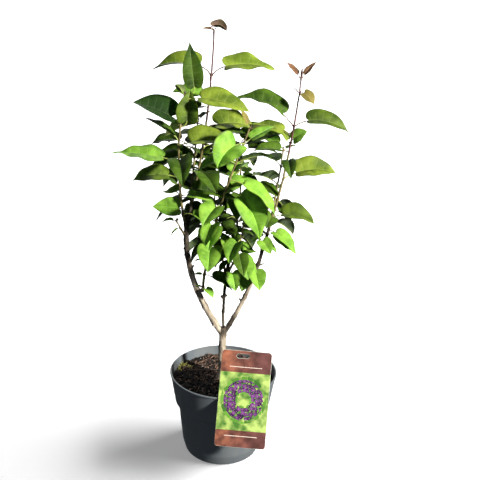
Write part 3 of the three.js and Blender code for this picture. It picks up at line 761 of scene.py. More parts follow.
flat_corners, faces = card_solid(TAG["print_inset"], TAG["thick"] - TAG["print_thick"], TAG["thick"], 0.02)
film_mesh = Bundle().add(stand_card(flat_corners), faces).mesh("tag_print")
film_uv = film_mesh.uv_layers.new(name="card_mm")
loop_corners = np.zeros(len(film_mesh.loops), np.int32)
film_mesh.loops.foreach_get("vertex_index", loop_corners)
film_uv.data.foreach_set("uv", flat_corners[loop_corners, :2].astype(np.float32).ravel())
make_piece("tag_print", film_mesh, [tag_print()], ["plant_tag"], sharp=30)

# %% [markdown]
# ## Trunk and boughs
#
# The trunk stands straight out of the compost with a small flare and forks at a knuckle. Boughs
# bow outwards and rise. Tubes pushed into each other would show a hard crease at the
# fork, so all limbs are joined and then remeshed as one skin of small voxels, which fills the
# crotches as wood does. Knots, pruned stubs and the collars of the shoots are joined in first.

# %% The limbs, as the part's own rule has them
TRUNK_TOP, TRUNK_FOOT = 237, 132
BOUGHS = {
    "left_bough": dict(foot=(-5, 0, 226), tip=(-67, -1, 432), bow=(-21, 0, 0), radii=(5.6, 3.9)),
    "right_bough": dict(foot=(-2, 0, 224), tip=(63, 0, 395), bow=(9, 0, 0), radii=(4.2, 2.8)),
    "centre_bough": dict(foot=(-2, 0, 230), tip=(3, 0, 351), bow=(-3, 0, 0), radii=(2.0, 2.7)),
}
STEM = dict(foot=2.3, tip=1.1)
COLLAR = dict(length=9, foot=3.6, tip=2.2)


def heading(bearing, rise):
    """The direction that points along a bearing and climbs by an angle."""
    bearing, rise = np.broadcast_arrays(bearing, rise)
    return np.stack([np.cos(bearing) * np.cos(rise), np.sin(bearing) * np.cos(rise), np.sin(rise)], -1)


def bowed(line, share):
    """Points on a bowed line: straight from foot to tip, plus a bulge of 4 t (1 - t) times bow."""
    t = np.asarray(share, float)[..., None]
    foot, tip, bow = (np.array(line[key], float) for key in ("foot", "tip", "bow"))
    return foot + (tip - foot) * t + bow * 4 * t * (1 - t)


# Each shoot: foot, tip and bow; the bearing of its first leaf pair; its leaf length; the shares of
# its length where pairs stand; and the leaves that are set one by one, as pair and side: bearing,
# tilt, arch, roll, length, then the petiole's lift and the leaf's width where they are not usual.
# Some of these poses are a little off the imported model's, which has plainer leaves.
SHOOTS = {
    "left_leader_shoot": dict(
        foot=(-66, 0, 431), tip=(-28, 0, 738), bow=(8, 6, 0), first=70, leaf=66,
        pairs=(0.12, 0.25, 0.38, 0.5, 0.65, 0.76, 0.985),
        set={(6, 0): (20, 32, 100, -30, 29, 214, 0.7), (6, 1): (190, 8, 20, -20, 14, 10),
             (5, 0): (170, 11, 37, -34, 77, 60, 0.6), (5, 1): (4, 14, 29, 36, 79, 55, 0.56),
             (4, 1): (165, 18, 40, -40, 48, 26), (3, 0): (10, 14, 34, 30, 60, 10, 0.74)}),
    "left_front_shoot": dict(
        foot=(-69, -4, 420), tip=(-70, -30, 640), bow=(-10, -8, 0), first=190, leaf=66,
        pairs=(0.1, 0.25, 0.39, 0.52, 0.635, 0.765, 0.88, 0.985),
        set={(7, 0): (4, 97, 4, 94, 66, -10, 0.52), (5, 0): (184, 27, 16, -34, 62, 72, 0.8),
             (5, 1): (0, 88, 5, 92, 47, 4, 0.7), (4, 0): (200, 36, 10, -14, 54, 90),
             (4, 1): (2, 10, 24, 26, 62, 20, 0.72), (3, 0): (182, 12, 12, -26, 77, 10, 0.6),
             (2, 0): (190, 8, 36, -30, 58, 25), (1, 0): (120, 0, 30, -20, 50, 25),
             (1, 1): (352, 0, 30, 20, 44, 25), (0, 0): (184, 8, 10, -62, 44, 110, 0.7)}),
    "left_back_shoot": dict(
        foot=(-65, 4, 424), tip=(-54, 58, 592), bow=(0, 10, 0), first=40, leaf=68,
        pairs=(0.22, 0.42, 0.62, 0.8, 0.97)),
    "left_spur": dict(
        foot=(-68, -2, 400), tip=(-84, -7, 430), bow=(0, 0, 0), first=180, leaf=24, pairs=(0.55, 0.96)),
    "side_shoot": dict(
        foot=(-40, -2, 304), tip=(32, -30, 592), bow=(-12, -16, 0), first=20, leaf=62,
        pairs=(0.03, 0.12, 0.22, 0.33, 0.45, 0.56, 0.635, 0.71, 0.8, 0.91, 0.985),
        set={(10, 0): (150, 66, 10, -20, 28, 70, 0.42), (10, 1): (340, 25, 20, 10, 14, 30),
             (9, 0): (20, 28, 10, 30, 44, 34), (9, 1): (222, -16, 50, -40, 50, 10, 0.85),
             (7, 0): (342, -22, 44, 10, 74, -2), (6, 0): (348, -44, 38, 56, 80, 30, 0.62),
             (5, 0): (240, -14, 30, -10, 46, 20, 0.74), (4, 0): (258, -28, 26, -4, 42, 0, 0.76),
             (3, 0): (268, -26, 30, 0, 44, -10, 0.82), (2, 0): (150, -10, 30, 0, 20, 10),
             (1, 0): (345, -16, 30, 14, 42, 0), (1, 1): (170, 0, 20, 0, 16, 0),
             (0, 0): (325, -24, 20, 0, 20, -10, 0.8), (0, 1): (190, 20, 20, 0, 10, 10)}),
    "centre_front_shoot": dict(
        foot=(3.5, -2, 341), tip=(26, -42, 442), bow=(4, -10, 0), first=10, leaf=46,
        pairs=(0.22, 0.45, 0.7, 0.97),
        set={(2, 0): (240, -30, 30, 0, 38, 0, 0.74), (1, 0): (300, -36, 26, 6, 40, -10, 0.74)}),
    "centre_back_shoot": dict(
        foot=(3, 0.5, 349), tip=(16, 44, 548), bow=(10, 6, 0), first=60, leaf=70,
        pairs=(0.22, 0.38, 0.54, 0.7, 0.85, 0.975)),
    "centre_left_shoot": dict(
        foot=(0, 2, 334), tip=(-24, 64, 486), bow=(-6, 6, 0), first=10, leaf=64,
        pairs=(0.3, 0.53, 0.76, 0.97)),
    "right_leader_shoot": dict(
        foot=(63.5, 0, 394), tip=(109, 0, 669), bow=(8, 7, 0), first=90, leaf=62,
        pairs=(0.05, 0.16, 0.28, 0.4, 0.51, 0.61, 0.71, 0.905, 0.985),
        set={(8, 0): (15, 52, 10, 40, 27, 50, 0.42), (8, 1): (170, 48, 10, -40, 27, 50, 0.42),
             (7, 0): (335, -30, 25, 30, 24, 35, 0.9), (7, 1): (170, 45, 20, 0, 12),
             (6, 0): (175, 41, 50, -22, 82, 50, 0.62), (6, 1): (0, 9, 50, 28, 73, 40, 0.6),
             (5, 0): (170, 60, 20, -40, 24), (5, 1): (340, 45, 30, 60, 26, 80, 0.85),
             (3, 1): (5, 20, 42, 38, 70, 30, 0.62), (1, 1): (350, 10, 46, 30, 56, 30),
             (0, 1): (340, -24, 30, 20, 46), (0, 0): (200, -20, 30, 0, 22)}),
    "right_front_shoot": dict(
        foot=(60, -2, 380), tip=(48, -34, 432), bow=(0, -6, -2), first=330, leaf=44,
        pairs=(0.3, 0.62, 0.97),
        set={(0, 0): (345, -10, 30, 10, 22, 10, 0.8), (1, 0): (300, -20, 20, 20, 30, 10, 0.74)}),
    "right_back_shoot": dict(
        foot=(62.5, 2, 386), tip=(92, 66, 544), bow=(4, 8, 0), first=30, leaf=68,
        pairs=(0.22, 0.42, 0.62, 0.8, 0.97)),
    "right_spur": dict(
        foot=(47, -1, 340), tip=(46, -16, 356), bow=(0, 0, 0), first=90, leaf=30, pairs=(0.4, 0.94),
        set={(1, 0): (285, -36, 24, 0, 34, 0, 0.8), (1, 1): (130, 20, 30, 0, 20),
             (0, 0): (220, -10, 30, 0, 18), (0, 1): (100, 0, 30, 0, 12)}),
}
TRUNK_LINE = dict(foot=(TRUNK_X, 0, SOIL["top"]), tip=(TRUNK_X, 0, TRUNK_TOP), bow=(0, 0, 0))
ALL_LINES = {**SHOOTS, **BOUGHS, "trunk": TRUNK_LINE}


# %% Join the limbs and grow the bark
def swollen(radii, places, at, height, reach):
    """Radii with a swelling at each given place: each adds height times a bell curve."""
    bells = np.exp(-((places[:, None] - np.asarray(at)) / reach) ** 2)
    return radii + height * bells.sum(1)


def limb_lines():
    """Path and radii of every limb: the trunk, each bough with its knots, and the thick lower
    end of the shoot that carries each bough on."""
    heights = np.array([TRUNK_FOOT, 136.3, 139.3, 145.3, 158.3, 215, 222, 228, 233, TRUNK_TOP])
    widths = np.array([11.5, 10.5, 8.8, 7.3, 6.5, 6.2, 6.8, 7.0, 6.2, 4.0])
    z = np.linspace(TRUNK_FOOT, TRUNK_TOP, 70)
    sway = 0.5 * np.sin(z * 0.09)
    yield "trunk", np.stack([TRUNK_X + sway, 0.4 * np.cos(z * 0.07), z], 1), swollen(
        np.interp(z, heights, widths), z, [168, 197], 0.5, 3)
    knots = {"left_bough": [0.1, 0.24, 0.38, 0.53, 0.68, 0.82, 0.95],
             "right_bough": [0.2, 0.42, 0.62, 0.77, 0.93], "centre_bough": [0.3, 0.53, 0.76, 0.94]}
    for name, bough in BOUGHS.items():
        share = np.linspace(0, 1, 90)
        radii = bough["radii"][0] + (bough["radii"][1] - bough["radii"][0]) * share
        yield name, bowed(bough, share), swollen(radii, share, knots[name], 0.8, 0.016)
    carried = {"left_leader_shoot": (3.9, 0.1), "right_leader_shoot": (2.9, 0.1),
               "centre_back_shoot": (2.7, 0.12)}
    for name, (start, reach) in carried.items():
        share = np.linspace(0, reach, 30)
        yield name, bowed(SHOOTS[name], share), np.interp(share, [0, reach], [start, STEM["foot"]])


# Pruned stubs and side knots: limb, share of its length, bearing, rise, length and two radii.
STUBS = [("left_bough", 0.05, 205, 35, 13, 3.6, 2.7), ("left_bough", 0.46, 170, 62, 15, 2.8, 1.7),
         ("left_bough", 0.58, 20, 40, 9, 2.2, 1.5), ("left_bough", 0.72, 190, 50, 10, 2.2, 1.4),
         ("right_bough", 0.1, 320, 30, 8, 2.8, 2.0), ("right_bough", 0.37, 150, 35, 8, 2.2, 1.5),
         ("right_bough", 0.76, 176, 28, 11, 2.1, 1.3), ("right_bough", 0.76, 352, 24, 12, 2.0, 1.1),
         ("centre_bough", 0.03, 285, 55, 10, 3.0, 2.2), ("centre_bough", 0.52, 190, 30, 6.5, 2.7, 2.0),
         ("centre_bough", 0.54, 10, 20, 5.5, 2.4, 1.8), ("trunk", 0.36, 245, 35, 10, 3.4, 2.3)]


def stub_shape(limb, share, bearing, rise, length, thick, thin):
    """A short branch cut off square: a tube from the limb's middle, blunt at its end."""
    t = np.linspace(0, 1, 8)
    way = limb[int(share * (len(limb) - 1))] + t[:, None] * length * heading(bearing * DEG, rise * DEG)
    return tube(way, np.interp(t, [0, 0.85, 1], [thick, thin, 0.8 * thin]), 12)


def skin(shapes, voxel, name):
    """Closed shapes joined into one skin: space is cut into voxels, the filled ones are wrapped,
    and the wrapping is softened."""
    bundle = Bundle()
    for shape in shapes:
        bundle.add(*shape)
    body = link_new(name, bundle.mesh(name + "_parts"))
    remesh = body.modifiers.new("skin", "REMESH")
    remesh.mode, remesh.voxel_size = "VOXEL", voxel * MM
    soften = body.modifiers.new("soften", "SMOOTH")
    soften.factor, soften.iterations = 0.5, 6
    return applied(body, name)


def corner_array(mesh, name="co"):
    """The mesh's corners, or their normals, as an array; places in mm."""
    values = np.zeros(len(mesh.vertices) * 3)
    if name == "co":
        mesh.vertices.foreach_get("co", values)
        return values.reshape(-1, 3) / MM
    mesh.vertex_normals.foreach_get("vector", values)
    return values.reshape(-1, 3)


# Distances along a limb start at APART mm times its number, so that they also say which limb it is.
APART = 300.0


def along_limbs(points, limbs):
    """For each point the nearest place on a limb: the offset from it on the limb's own two cross
    axes, and the distance along the limb. Points are taken some thousands at a time, because every
    one is compared with every place."""
    paths = np.vstack([path for path, _ in limbs])
    reach = np.concatenate([radii for _, radii in limbs])
    along = np.vstack([unit(np.gradient(path, axis=0)) for path, _ in limbs])
    travelled = np.concatenate([
        APART * number + np.concatenate([[0], np.cumsum(np.linalg.norm(np.diff(path, axis=0), axis=1))])
        for number, (path, _) in enumerate(limbs)])
    across = unit(np.cross([0, 1, 0.01], along))
    over = np.cross(along, across)
    result = []
    for block in np.array_split(points, max(len(points) // 4000, 1)):
        gap = np.linalg.norm(block[:, None] - paths[None], axis=2) - reach
        k = gap.argmin(1)
        offset = block - paths[k]
        result.append(np.stack([(offset * across[k]).sum(1), (offset * over[k]).sum(1),
                                travelled[k] + (offset * along[k]).sum(1)], 1))
    return np.vstack(result)


def smooth_step(value, low, high):
    """Zero below low, one above high, and an S-shaped rise between them."""
    t = np.clip((value - low) / (high - low), 0, 1)
    return t * t * (3 - 2 * t)


def bark_relief(place):
    """Heights in mm on (cross, cross, along) places: long ridges, flaking plates with edges,
    fissures that run along the limb, and small raised lenticels that lie across it."""
    lengthwise = place * [1, 1, 0.22]
    crosswise = place * [1, 1, 2.4]
    ridges = 0.28 * noise(lengthwise, 2.6) + 0.14 * noise(lengthwise + 30, 1.1)
    plates = 0.3 * smooth_step(noise(place * [1, 1, 0.4] + 70, 5.5), 0.0, 0.16)
    cracks = -0.42 * smooth_step(noise(lengthwise + 140, 1.9), 0.3, 0.6)
    pores = 0.34 * smooth_step(noise(crosswise + 220, 2.4), 0.5, 0.66)
    return ridges + plates + cracks + pores


def bark_material():
    """Cream-tan bark with grey streaks, darker in its cracks, and nearly black by a value that each
    corner carries: darker bark round the fork, and painted shade where the crown shades the boughs."""
    material, net, shader = new_material("bark", 0.86, Specular_IOR_Level=0.25)
    tan = net.patches((0.27, 0.2, 0.135), (0.72, 0.62, 0.49), 110, detail=8, spread=0.17,
                      stretch=(1, 1, 0.3))
    grey = net.patches((0, 0, 0), (1, 1, 1), 34, detail=6, spread=0.1, stretch=(1, 1, 0.35))
    streaks = net.math("MULTIPLY", grey.outputs["Color"], 0.45)
    colour = net.mix(streaks, tan.outputs["Color"], (0.15, 0.13, 0.1))
    deep = net.math("MULTIPLY", net.ramp(net.attribute("relief"), 0.05, -0.4), 0.8)
    colour = net.mix(deep, colour, (0.045, 0.026, 0.018))
    # Nearly black by the carried value: darker bark round the fork, and painted crown shade on the thin
    # middle bough and high on the boughs.
    colour = net.mix(net.attribute("weathered"), colour, (0.014, 0.01, 0.007))
    net.links.new(colour, shader.inputs["Base Color"])
    net.bump(shader, tan.outputs["Height"], 0.5)
    return material


def bark_darkness_and_crown_shade(points, place):
    """How dark the bark is, from 0 to 1: fairly light on the trunk and dark round the fork; on the
    thin middle bough and where the boughs enter the leaves the dark is painted shade of the crown. Noise
    frays the borders."""
    z = points[:, 2] + 9 * noise(place * [1, 1, 0.3] + 400, 4)
    left = smooth_step(z, 336, 356)
    right = np.maximum(0.85 * smooth_step(-z, -276, -250), 0.9 * smooth_step(z, 340, 362))
    middle = 0.8 + 0.2 * smooth_step(z, 250, 275)
    shares = [0.9 * smooth_step(z, 216, 234) * smooth_step(-z, -246, -236), left, right, middle]
    shares += [np.full(len(z), 0.9)] * 3
    number = np.clip((place[:, 2] + APART / 2) // APART, 0, len(shares) - 1).astype(int)
    dark = np.choose(number, shares)
    frayed = np.minimum(1.03 + 0.35 * noise(place * [1, 1, 0.4] + 500, 3.0), 1)
    return np.clip(dark * frayed, 0, 0.98)


VOXEL = 0.75
limbs = {name: (path, radii) for name, path, radii in limb_lines()}
shapes = [tube(path, radii, 20) for path, radii in limbs.values()]
shapes += [stub_shape(limbs[name][0], *stub) for name, *stub in STUBS]
for name, shoot in SHOOTS.items():
    if name not in limbs:
        span = np.linalg.norm(np.subtract(shoot["tip"], shoot["foot"]))
        share = np.linspace(0, min(COLLAR["length"] / span, 1), 8)
        shapes.append(tube(bowed(shoot, share), np.linspace(COLLAR["foot"], COLLAR["tip"], 8), 12))
wood = skin(shapes, VOXEL, "bark_limbs")
corners = corner_array(wood)
on_limbs = along_limbs(corners, list(limbs.values()))
relief, dark = bark_relief(on_limbs), bark_darkness_and_crown_shade(corners, on_limbs)
relief *= smooth_step(corners[:, 2], 130, 138)
corners += corner_array(wood, "normal") * relief[:, None]
wood.vertices.foreach_set("co", (corners * MM).ravel())
# The carried darkness is partly darker bark round the fork and partly painted shade of the crown.
for name, value in (("relief", relief), ("weathered", dark)):
    wood.attributes.new(name, "FLOAT", "POINT").data.foreach_set("value", value.astype(np.float32))
make_piece("bark_limbs", wood, [bark_material()], ["trunk", *BOUGHS], sharp=180)
print(f"bark relief from {relief.min():.2f} to {relief.max():.2f} mm")

# %% [markdown]
# ## Where the leaves stand
#
# Lilac leaves come in opposite pairs, and each pair stands a quarter turn round from the last one.
# Leaves low on a shoot hang and are broad, those at its tip are small, narrow and raised. Scattering
# them with a particle system would lose this order, so a rule gives each leaf its pose,
# with a little seeded chance. Leaves that make the outline are set one by one. A leaf that would grow
# through another one turns aside or lifts, and is left out where nothing is free, as in a real crown.


# %% The rule of the leaves
LEAF = dict(lift=35, low_tilt=-34, high_tilt=22, arch=34, widest=0.68, narrowest=0.55, fold=22 * DEG,
            lobe=0.1, petiole=0.35)
# How many mm a leaf keeps from a limb, from its own stem, and from leaves of other shoots and of
# its own. A pose's numbers come in this order, and five of them are angles. The smallest leaves
# may touch their own stem, and small ones bear no twig.
CLEAR = dict(limb=8, own=4.5, other=9.5, pair=6)
BEARING, TILT, ARCH, ROLL, LENGTH, LIFT, WIDTH = range(7)
ANGLES = [BEARING, TILT, ARCH, ROLL, LIFT]
SMALLEST, SMALL = 30, 34
TURNS, RISES = (0, 14, -14, 28, -28, 42, -42), (0, 14, -14, 26)


def seeded(seed):
    """Numbers from -1 to 1 by a small counting rule: each state is the last one times a fixed
    factor plus a fixed step, without what runs over 32 bits."""
    state = (seed * 7919 + 12345) % 2 ** 32
    while True:
        state = (state * 1664525 + 1013904223) % 2 ** 32
        yield state / 2 ** 32 * 2 - 1


def midlines(roots, poses, petiole_steps, blade_steps):
    """Points from each leaf's root along its petiole, which turns from lift to tilt, and along
    its midrib, which bends down by the arch: sums of small steps. A pose is bearing, tilt, arch,
    roll, length, lift, width."""
    bearing, tilt, arch, _, length, lift, _ = poses.T[..., None]
    stalk = (np.arange(petiole_steps) + 0.5) / petiole_steps
    blade = (np.arange(blade_steps) + 0.5) / blade_steps
    rises = np.concatenate([lift + (tilt - lift) * stalk, tilt - arch * blade], 1)
    shares = np.repeat([LEAF["petiole"] / petiole_steps, 1 / blade_steps], [petiole_steps, blade_steps])
    ways = heading(bearing, rises) * (shares * length)[..., None]
    return roots[:, None] + np.concatenate([np.zeros((len(roots), 1, 3)), ways.cumsum(1)], 1)


def half_width(u, width, start=0.75, growth=0.6):
    """Half the width of a heart-shaped leaf with a drawn-out tip, as a share of its length: a
    sine that peaks near the base, raised to a power that grows towards the tip."""
    swell = np.maximum(np.sin(np.pi * (0.015 + 0.985 * u) ** 0.62), 0)
    return 0.5 * width * swell ** (start + growth * u)


def blade_points(roots, poses, u, v, half, back, lift, steps, twist=0.0, bend=0.0):
    """Points of each blade: along its midline at u, back by `back`, across by v times half, up by
    lift. `twist` turns the blade along its length, and `bend` curves it sideways."""
    bearing, tilt, arch, roll, length, _, _ = poses.T[..., None, None]
    line = midlines(roots, poses, 4, steps)[:, 4:]
    place = u * steps
    i = np.minimum(np.floor(place), steps - 1).astype(int)
    part = (place - i)[..., None]
    middle = line[:, i] * (1 - part) + line[:, i + 1] * part
    rise = tilt - arch * u
    along, over = heading(bearing, rise), heading(bearing, rise + np.pi / 2)
    aside = np.cross(along, over)
    roll = (roll + twist * u + 0 * rise)[..., None]
    up_way = over * np.cos(roll) + aside * np.sin(roll)
    across = aside * np.cos(roll) - over * np.sin(roll)
    sideways = (v * half * np.cos(LEAF["fold"]) + bend * length * u ** 2)[..., None]
    return middle - along * back[..., None] + across * sideways + up_way * lift[..., None]


FEEL_U, FEEL_V = np.meshgrid(0.04 + 0.96 * np.arange(8) / 7, [-1, -0.5, 0, 0.5, 1], indexing="ij")
ON_BLADE, FEELERS, MIDDLE = FEEL_U.size, FEEL_U.size + 2, FEEL_U.size // 2
STEM_POINTS, MOST_LEAVES, NEAR = 41, 2000, 130


def feelers(roots, poses):
    """Points spread over each leaf, by which its distance from others is judged: forty on the
    blade and two on the petiole."""
    length, width = poses[:, LENGTH][:, None, None], poses[:, WIDTH][:, None, None]
    half = half_width(FEEL_U, width) * length
    back = LEAF["lobe"] * np.abs(FEEL_V) * (1 - FEEL_U) ** 3 * length
    lift = np.abs(FEEL_V) * half * np.sin(LEAF["fold"])
    blade = blade_points(roots, poses, FEEL_U, FEEL_V, half, back, lift, 10)
    return np.concatenate([blade.reshape(len(roots), -1, 3), midlines(roots, poses, 4, 10)[:, 2:4]], 1)


def usual_leaves(name, index):
    """Every leaf of a shoot by its rule, or as it is set: (pair, side, is set, root, pose)."""
    shoot, chance = SHOOTS[name], seeded(index + 1)
    count = len(shoot["pairs"])
    for pair, place in enumerate(shoot["pairs"]):
        a = pair / max(count - 1, 1)
        young = max(0, a - 0.7) / 0.3
        share = (0.8 + 0.8 * a * (1 - a)) * (1 - 0.5 * young)
        for side in (0, 1):
            bearing = shoot["first"] + 90 * pair + 180 * side + 12 * next(chance)
            length = shoot["leaf"] * share * (1 + 0.08 * next(chance))
            tilt = LEAF["low_tilt"] + (LEAF["high_tilt"] - LEAF["low_tilt"]) * a + 14 * next(chance)
            arch, roll = LEAF["arch"] + 14 * next(chance), 18 * next(chance)
            width = LEAF["widest"] + (LEAF["narrowest"] - LEAF["widest"]) * a
            pose = np.array([bearing, tilt, arch, roll, length, LEAF["lift"], width], float)
            given = shoot.get("set", {}).get((pair, side), ())
            pose[:len(given)] = given
            pose[ANGLES] *= DEG
            yield pair, side, bool(given), bowed(shoot, place), pose


class Crown:
    """The leaves that have found a place, with their feelers, and the stems they keep clear of."""

    def __init__(self):
        self.leaves, self.feelers = [], np.zeros((MOST_LEAVES, FEELERS, 3))
        self.names, self.pairs = [], np.zeros(MOST_LEAVES, int)
        shares = np.arange(STEM_POINTS) / (STEM_POINTS - 1)
        self.stems = np.vstack([bowed(line, shares) for line in ALL_LINES.values()])
        self.stem_names = np.repeat(list(ALL_LINES), STEM_POINTS)

    def keep(self, leaf, touch):
        """Takes a leaf in."""
        self.feelers[len(self.leaves)] = touch
        self.pairs[len(self.leaves)] = leaf["pair"]
        self.leaves.append(leaf)
        self.names.append(leaf["name"])

    def is_free(self, leaf, touch, clear):
        """True where no stem and no other leaf is nearer than its clearance. A leaf's own stem is
        felt with its blade only, and not at all by the smallest leaves."""
        gap = np.linalg.norm(touch[:, None] - self.stems, axis=2)
        own = self.stem_names == leaf["name"]
        if gap[:, ~own].min() < clear["limb"]:
            return False
        if own.any() and leaf["pose"][LENGTH] > SMALLEST and gap[:ON_BLADE, own].min() < clear["own"]:
            return False
        kept = self.feelers[:len(self.leaves)]
        same = np.array(self.names) == leaf["name"]
        limit = np.where(same, clear["pair"], clear["other"])
        near = np.linalg.norm(kept[:, MIDDLE] - touch[MIDDLE], axis=1) < NEAR
        near &= ~(same & (self.pairs[:len(kept)] == leaf["pair"]))
        others = kept[near].reshape(-1, 3)
        square = (touch ** 2).sum(1)[:, None] + (others ** 2).sum(1) - 2 * touch @ others.T
        gap = np.sqrt(np.maximum(square.min(0).reshape(-1, FEELERS).min(1, initial=1e9), 0))
        return bool((gap >= limit[near]).all())

    def place(self, leaf, clear, rises=RISES, turns=TURNS):
        """Takes a leaf in at the first free pose: lifted by each rise, turned by each turn."""
        tries = np.repeat(leaf["pose"][None], len(rises) * len(turns), 0)
        tries[:, TILT] += np.repeat(rises, len(turns)) * DEG
        tries[:, BEARING] += np.tile(turns, len(rises)) * DEG
        touches = feelers(np.repeat(leaf["root"][None], len(tries), 0), tries)
        for pose, touch in zip(tries, touches):
            if self.is_free(leaf, touch, clear):
                self.keep({**leaf, "pose": pose}, touch)
                return True
        return False


# Leaves that follow the rule but for a number or two of their pose, angles in degrees.
CHANGED = {("left_front_shoot", 6, 1): {LENGTH: 32, TILT: 40, LIFT: 80},
           ("left_spur", 1, 0): {LENGTH: 20, TILT: 10, BEARING: 185},
           ("side_shoot", 4, 1): {LENGTH: 42, WIDTH: 0.8}, ("centre_front_shoot", 0, 1): {LENGTH: 26},
           ("right_leader_shoot", 4, 1): {LENGTH: 40}, ("right_back_shoot", 1, 1): {BEARING: 60}}
# Leaves that have fallen: pair and side on each shoot.
LOST = {"left_leader_shoot": {(4, 0), (2, 0)}, "left_front_shoot": {(2, 1)}, "side_shoot": {(5, 1)},
        "centre_back_shoot": {(3, 0)}, "right_leader_shoot": {(2, 0), (2, 1), (3, 0), (4, 0)},
        "right_back_shoot": {(2, 1)}, "centre_front_shoot": {(3, 0)}}
# Leaves of short side twigs: shoot, share of its length, bearing, tilt, arch, roll, length, lift,
# width and colour. They count as one pair that no shoot has.
OFF_SHOOT = 50
# Their deep green is a painted shade, for leaves inside the crown.
TWIG_LEAVES = [
    ("left_front_shoot", 0.95, 352, -1, 28, 34, 80, 22, 0.58, "olive"),
    ("left_front_shoot", 0.36, 0, -6, 12, 26, 72, -40, 0.5, "deep"),
    ("left_front_shoot", 0.3, 190, 30, 6, -24, 40, 90, 0.6, "deep"),
    ("left_leader_shoot", 0.6, 200, -10, 20, -20, 36, 30, 0.7, "deep"),
    ("left_leader_shoot", 0.46, 10, 4, 26, 26, 60, 20, 0.6, "deep"),
    ("centre_back_shoot", 0.99, 20, 40, 20, 40, 52, 80, 0.62, "deep"),
    ("centre_back_shoot", 0.96, 340, 10, 30, 20, 52, 40, 0.6, "deep"),
    ("centre_back_shoot", 0.8, 240, -30, 10, -60, 46, 0, 0.66, "fresh"),
    ("centre_back_shoot", 0.97, 350, 30, 30, 34, 62, 60, 0.6, "deep"),
    ("right_leader_shoot", 0.66, 178, 22, 26, -30, 50, 30, 0.6, "olive"),
    ("right_leader_shoot", 0.18, 250, -10, 20, -40, 34, 0, 0.7, "deep"),
    ("right_back_shoot", 0.5, 100, 4, 30, 0, 52, 40, 0.66, "fresh"),
    ("right_back_shoot", 0.35, 30, -30, 30, 10, 40, 10, 0.66, "deep"),
    ("right_leader_shoot", 0.56, 190, 10, 30, -26, 46, 20, 0.64, "deep"),
    ("right_leader_shoot", 0.08, 320, -20, 30, 10, 44, 10, 0.7, "fresh"),
    ("right_back_shoot", 0.99, 200, 34, 10, -60, 42, 46, 0.6, "fresh"),
    ("centre_front_shoot", 0.1, 290, -44, 20, 10, 32, -20, 0.74, "fresh"),
    ("right_spur", 0.5, 235, -36, 20, -10, 34, -10, 0.76, "fresh"),
]

crown, waiting = Crown(), []
for index, name in enumerate(SHOOTS):
    for pair, side, is_set, root, pose in usual_leaves(name, index):
        if (pair, side) in LOST.get(name, ()):
            continue
        for number, value in CHANGED.get((name, pair, side), {}).items():
            pose[number] = value * DEG if number in ANGLES else value
        leaf = dict(name=name, pair=pair, side=side, root=root, pose=pose, spray=False)
        if is_set:
            crown.keep(leaf, feelers(root[None], pose[None])[0])
        else:
            waiting.append(leaf)
for name, share, *numbers, colour in TWIG_LEAVES:
    pose = np.array(numbers, float)
    pose[ANGLES] *= DEG
    root = bowed(SHOOTS[name], share)
    leaf = dict(name=name, pair=OFF_SHOOT, side=0, root=root, pose=pose, spray=True, colour=colour)
    crown.keep(leaf, feelers(root[None], pose[None])[0])
set_count = len(crown.leaves)
for leaf in waiting:
    crown.place(leaf, CLEAR)
print(f"{set_count} leaves set, {len(crown.leaves) - set_count} placed by the rule,",
      f"{len(waiting) + set_count - len(crown.leaves)} left out")

# %% [markdown]
# In the axil of many leaves a short twig has grown out, with a pair or two of leaves. These sprays
# fill the inside of the crown. They follow the same rule but keep less distance, and each leaf is
# as large as its place allows.


# %% Finer sprays in the axils
FINE = dict(limb=3.0, own=2.0, other=4.2, pair=2.5)
# Sprays grow between two heights and behind FRONT; a share of BARE of their leaves is missing.
OPEN_ABOVE, OPEN_BELOW, FRONT, BARE = 606, 345, -22, 0.25
SPRAY_SHOOTS = ("left_back_shoot", "side_shoot", "centre_front_shoot", "centre_back_shoot",
                "centre_left_shoot", "right_front_shoot")


def add_sprays(chance):
    """From the axils of the larger leaves on the spray shoots, below their two topmost pairs and inside
    the open zone, a twig that rises at about 50 degrees beside the leaf, with two pairs of leaves; some
    leaves are missing, as everywhere in a crown, each other one takes the largest free size, and a bare
    twig is left out."""
    twigs = []
    for leaf in [leaf for leaf in crown.leaves if not leaf["spray"]]:
        shoot = SHOOTS[leaf["name"]]
        top = leaf["pair"] >= len(shoot["pairs"]) - 2 or leaf["name"] not in SPRAY_SHOOTS
        outside = leaf["root"][1] < FRONT or not OPEN_BELOW < leaf["root"][2] < OPEN_ABOVE
        if top or outside or leaf["pose"][LENGTH] < SMALL:
            continue
        bearing = leaf["pose"][BEARING] + chance.normal(0, 0.35)
        reach, rise = chance.uniform(13, 27), chance.uniform(42, 62) * DEG
        twig = dict(foot=leaf["root"], tip=leaf["root"] + reach * heading(bearing, rise),
                    bow=heading(bearing, 0.0) * chance.uniform(0.5, 2.5))
        grown = 0
        name = f"{leaf['name']}_spray_{len(twigs)}"
        for pair, place in enumerate((0.5, 0.97)):
            for side in (0, 1):
                pose = np.array([bearing + (90 * pair + 180 * side + 45 + chance.normal(0, 12)) * DEG,
                                 (-10 + 24 * pair + chance.normal(0, 12)) * DEG, 34 * DEG,
                                 chance.normal(0, 14) * DEG, 0, 36 * DEG, 0.74])
                if chance.uniform() < BARE:
                    continue
                for length in chance.uniform(0.85, 1.1) * np.array([50, 38, 28]):
                    pose[LENGTH] = length
                    small = dict(name=name, pair=pair, side=side, root=bowed(twig, place),
                                 pose=pose, spray=True)
                    if crown.place(small, FINE, (0, 18, -18), (0, 22, -22)):
                        grown += 1
                        break
        if grown:
            twigs.append((leaf["name"], twig))
    return twigs


SPRAYS = add_sprays(np.random.default_rng(3))
print(len(SPRAYS), "sprays with", sum(leaf["spray"] for leaf in crown.leaves), "small leaves")

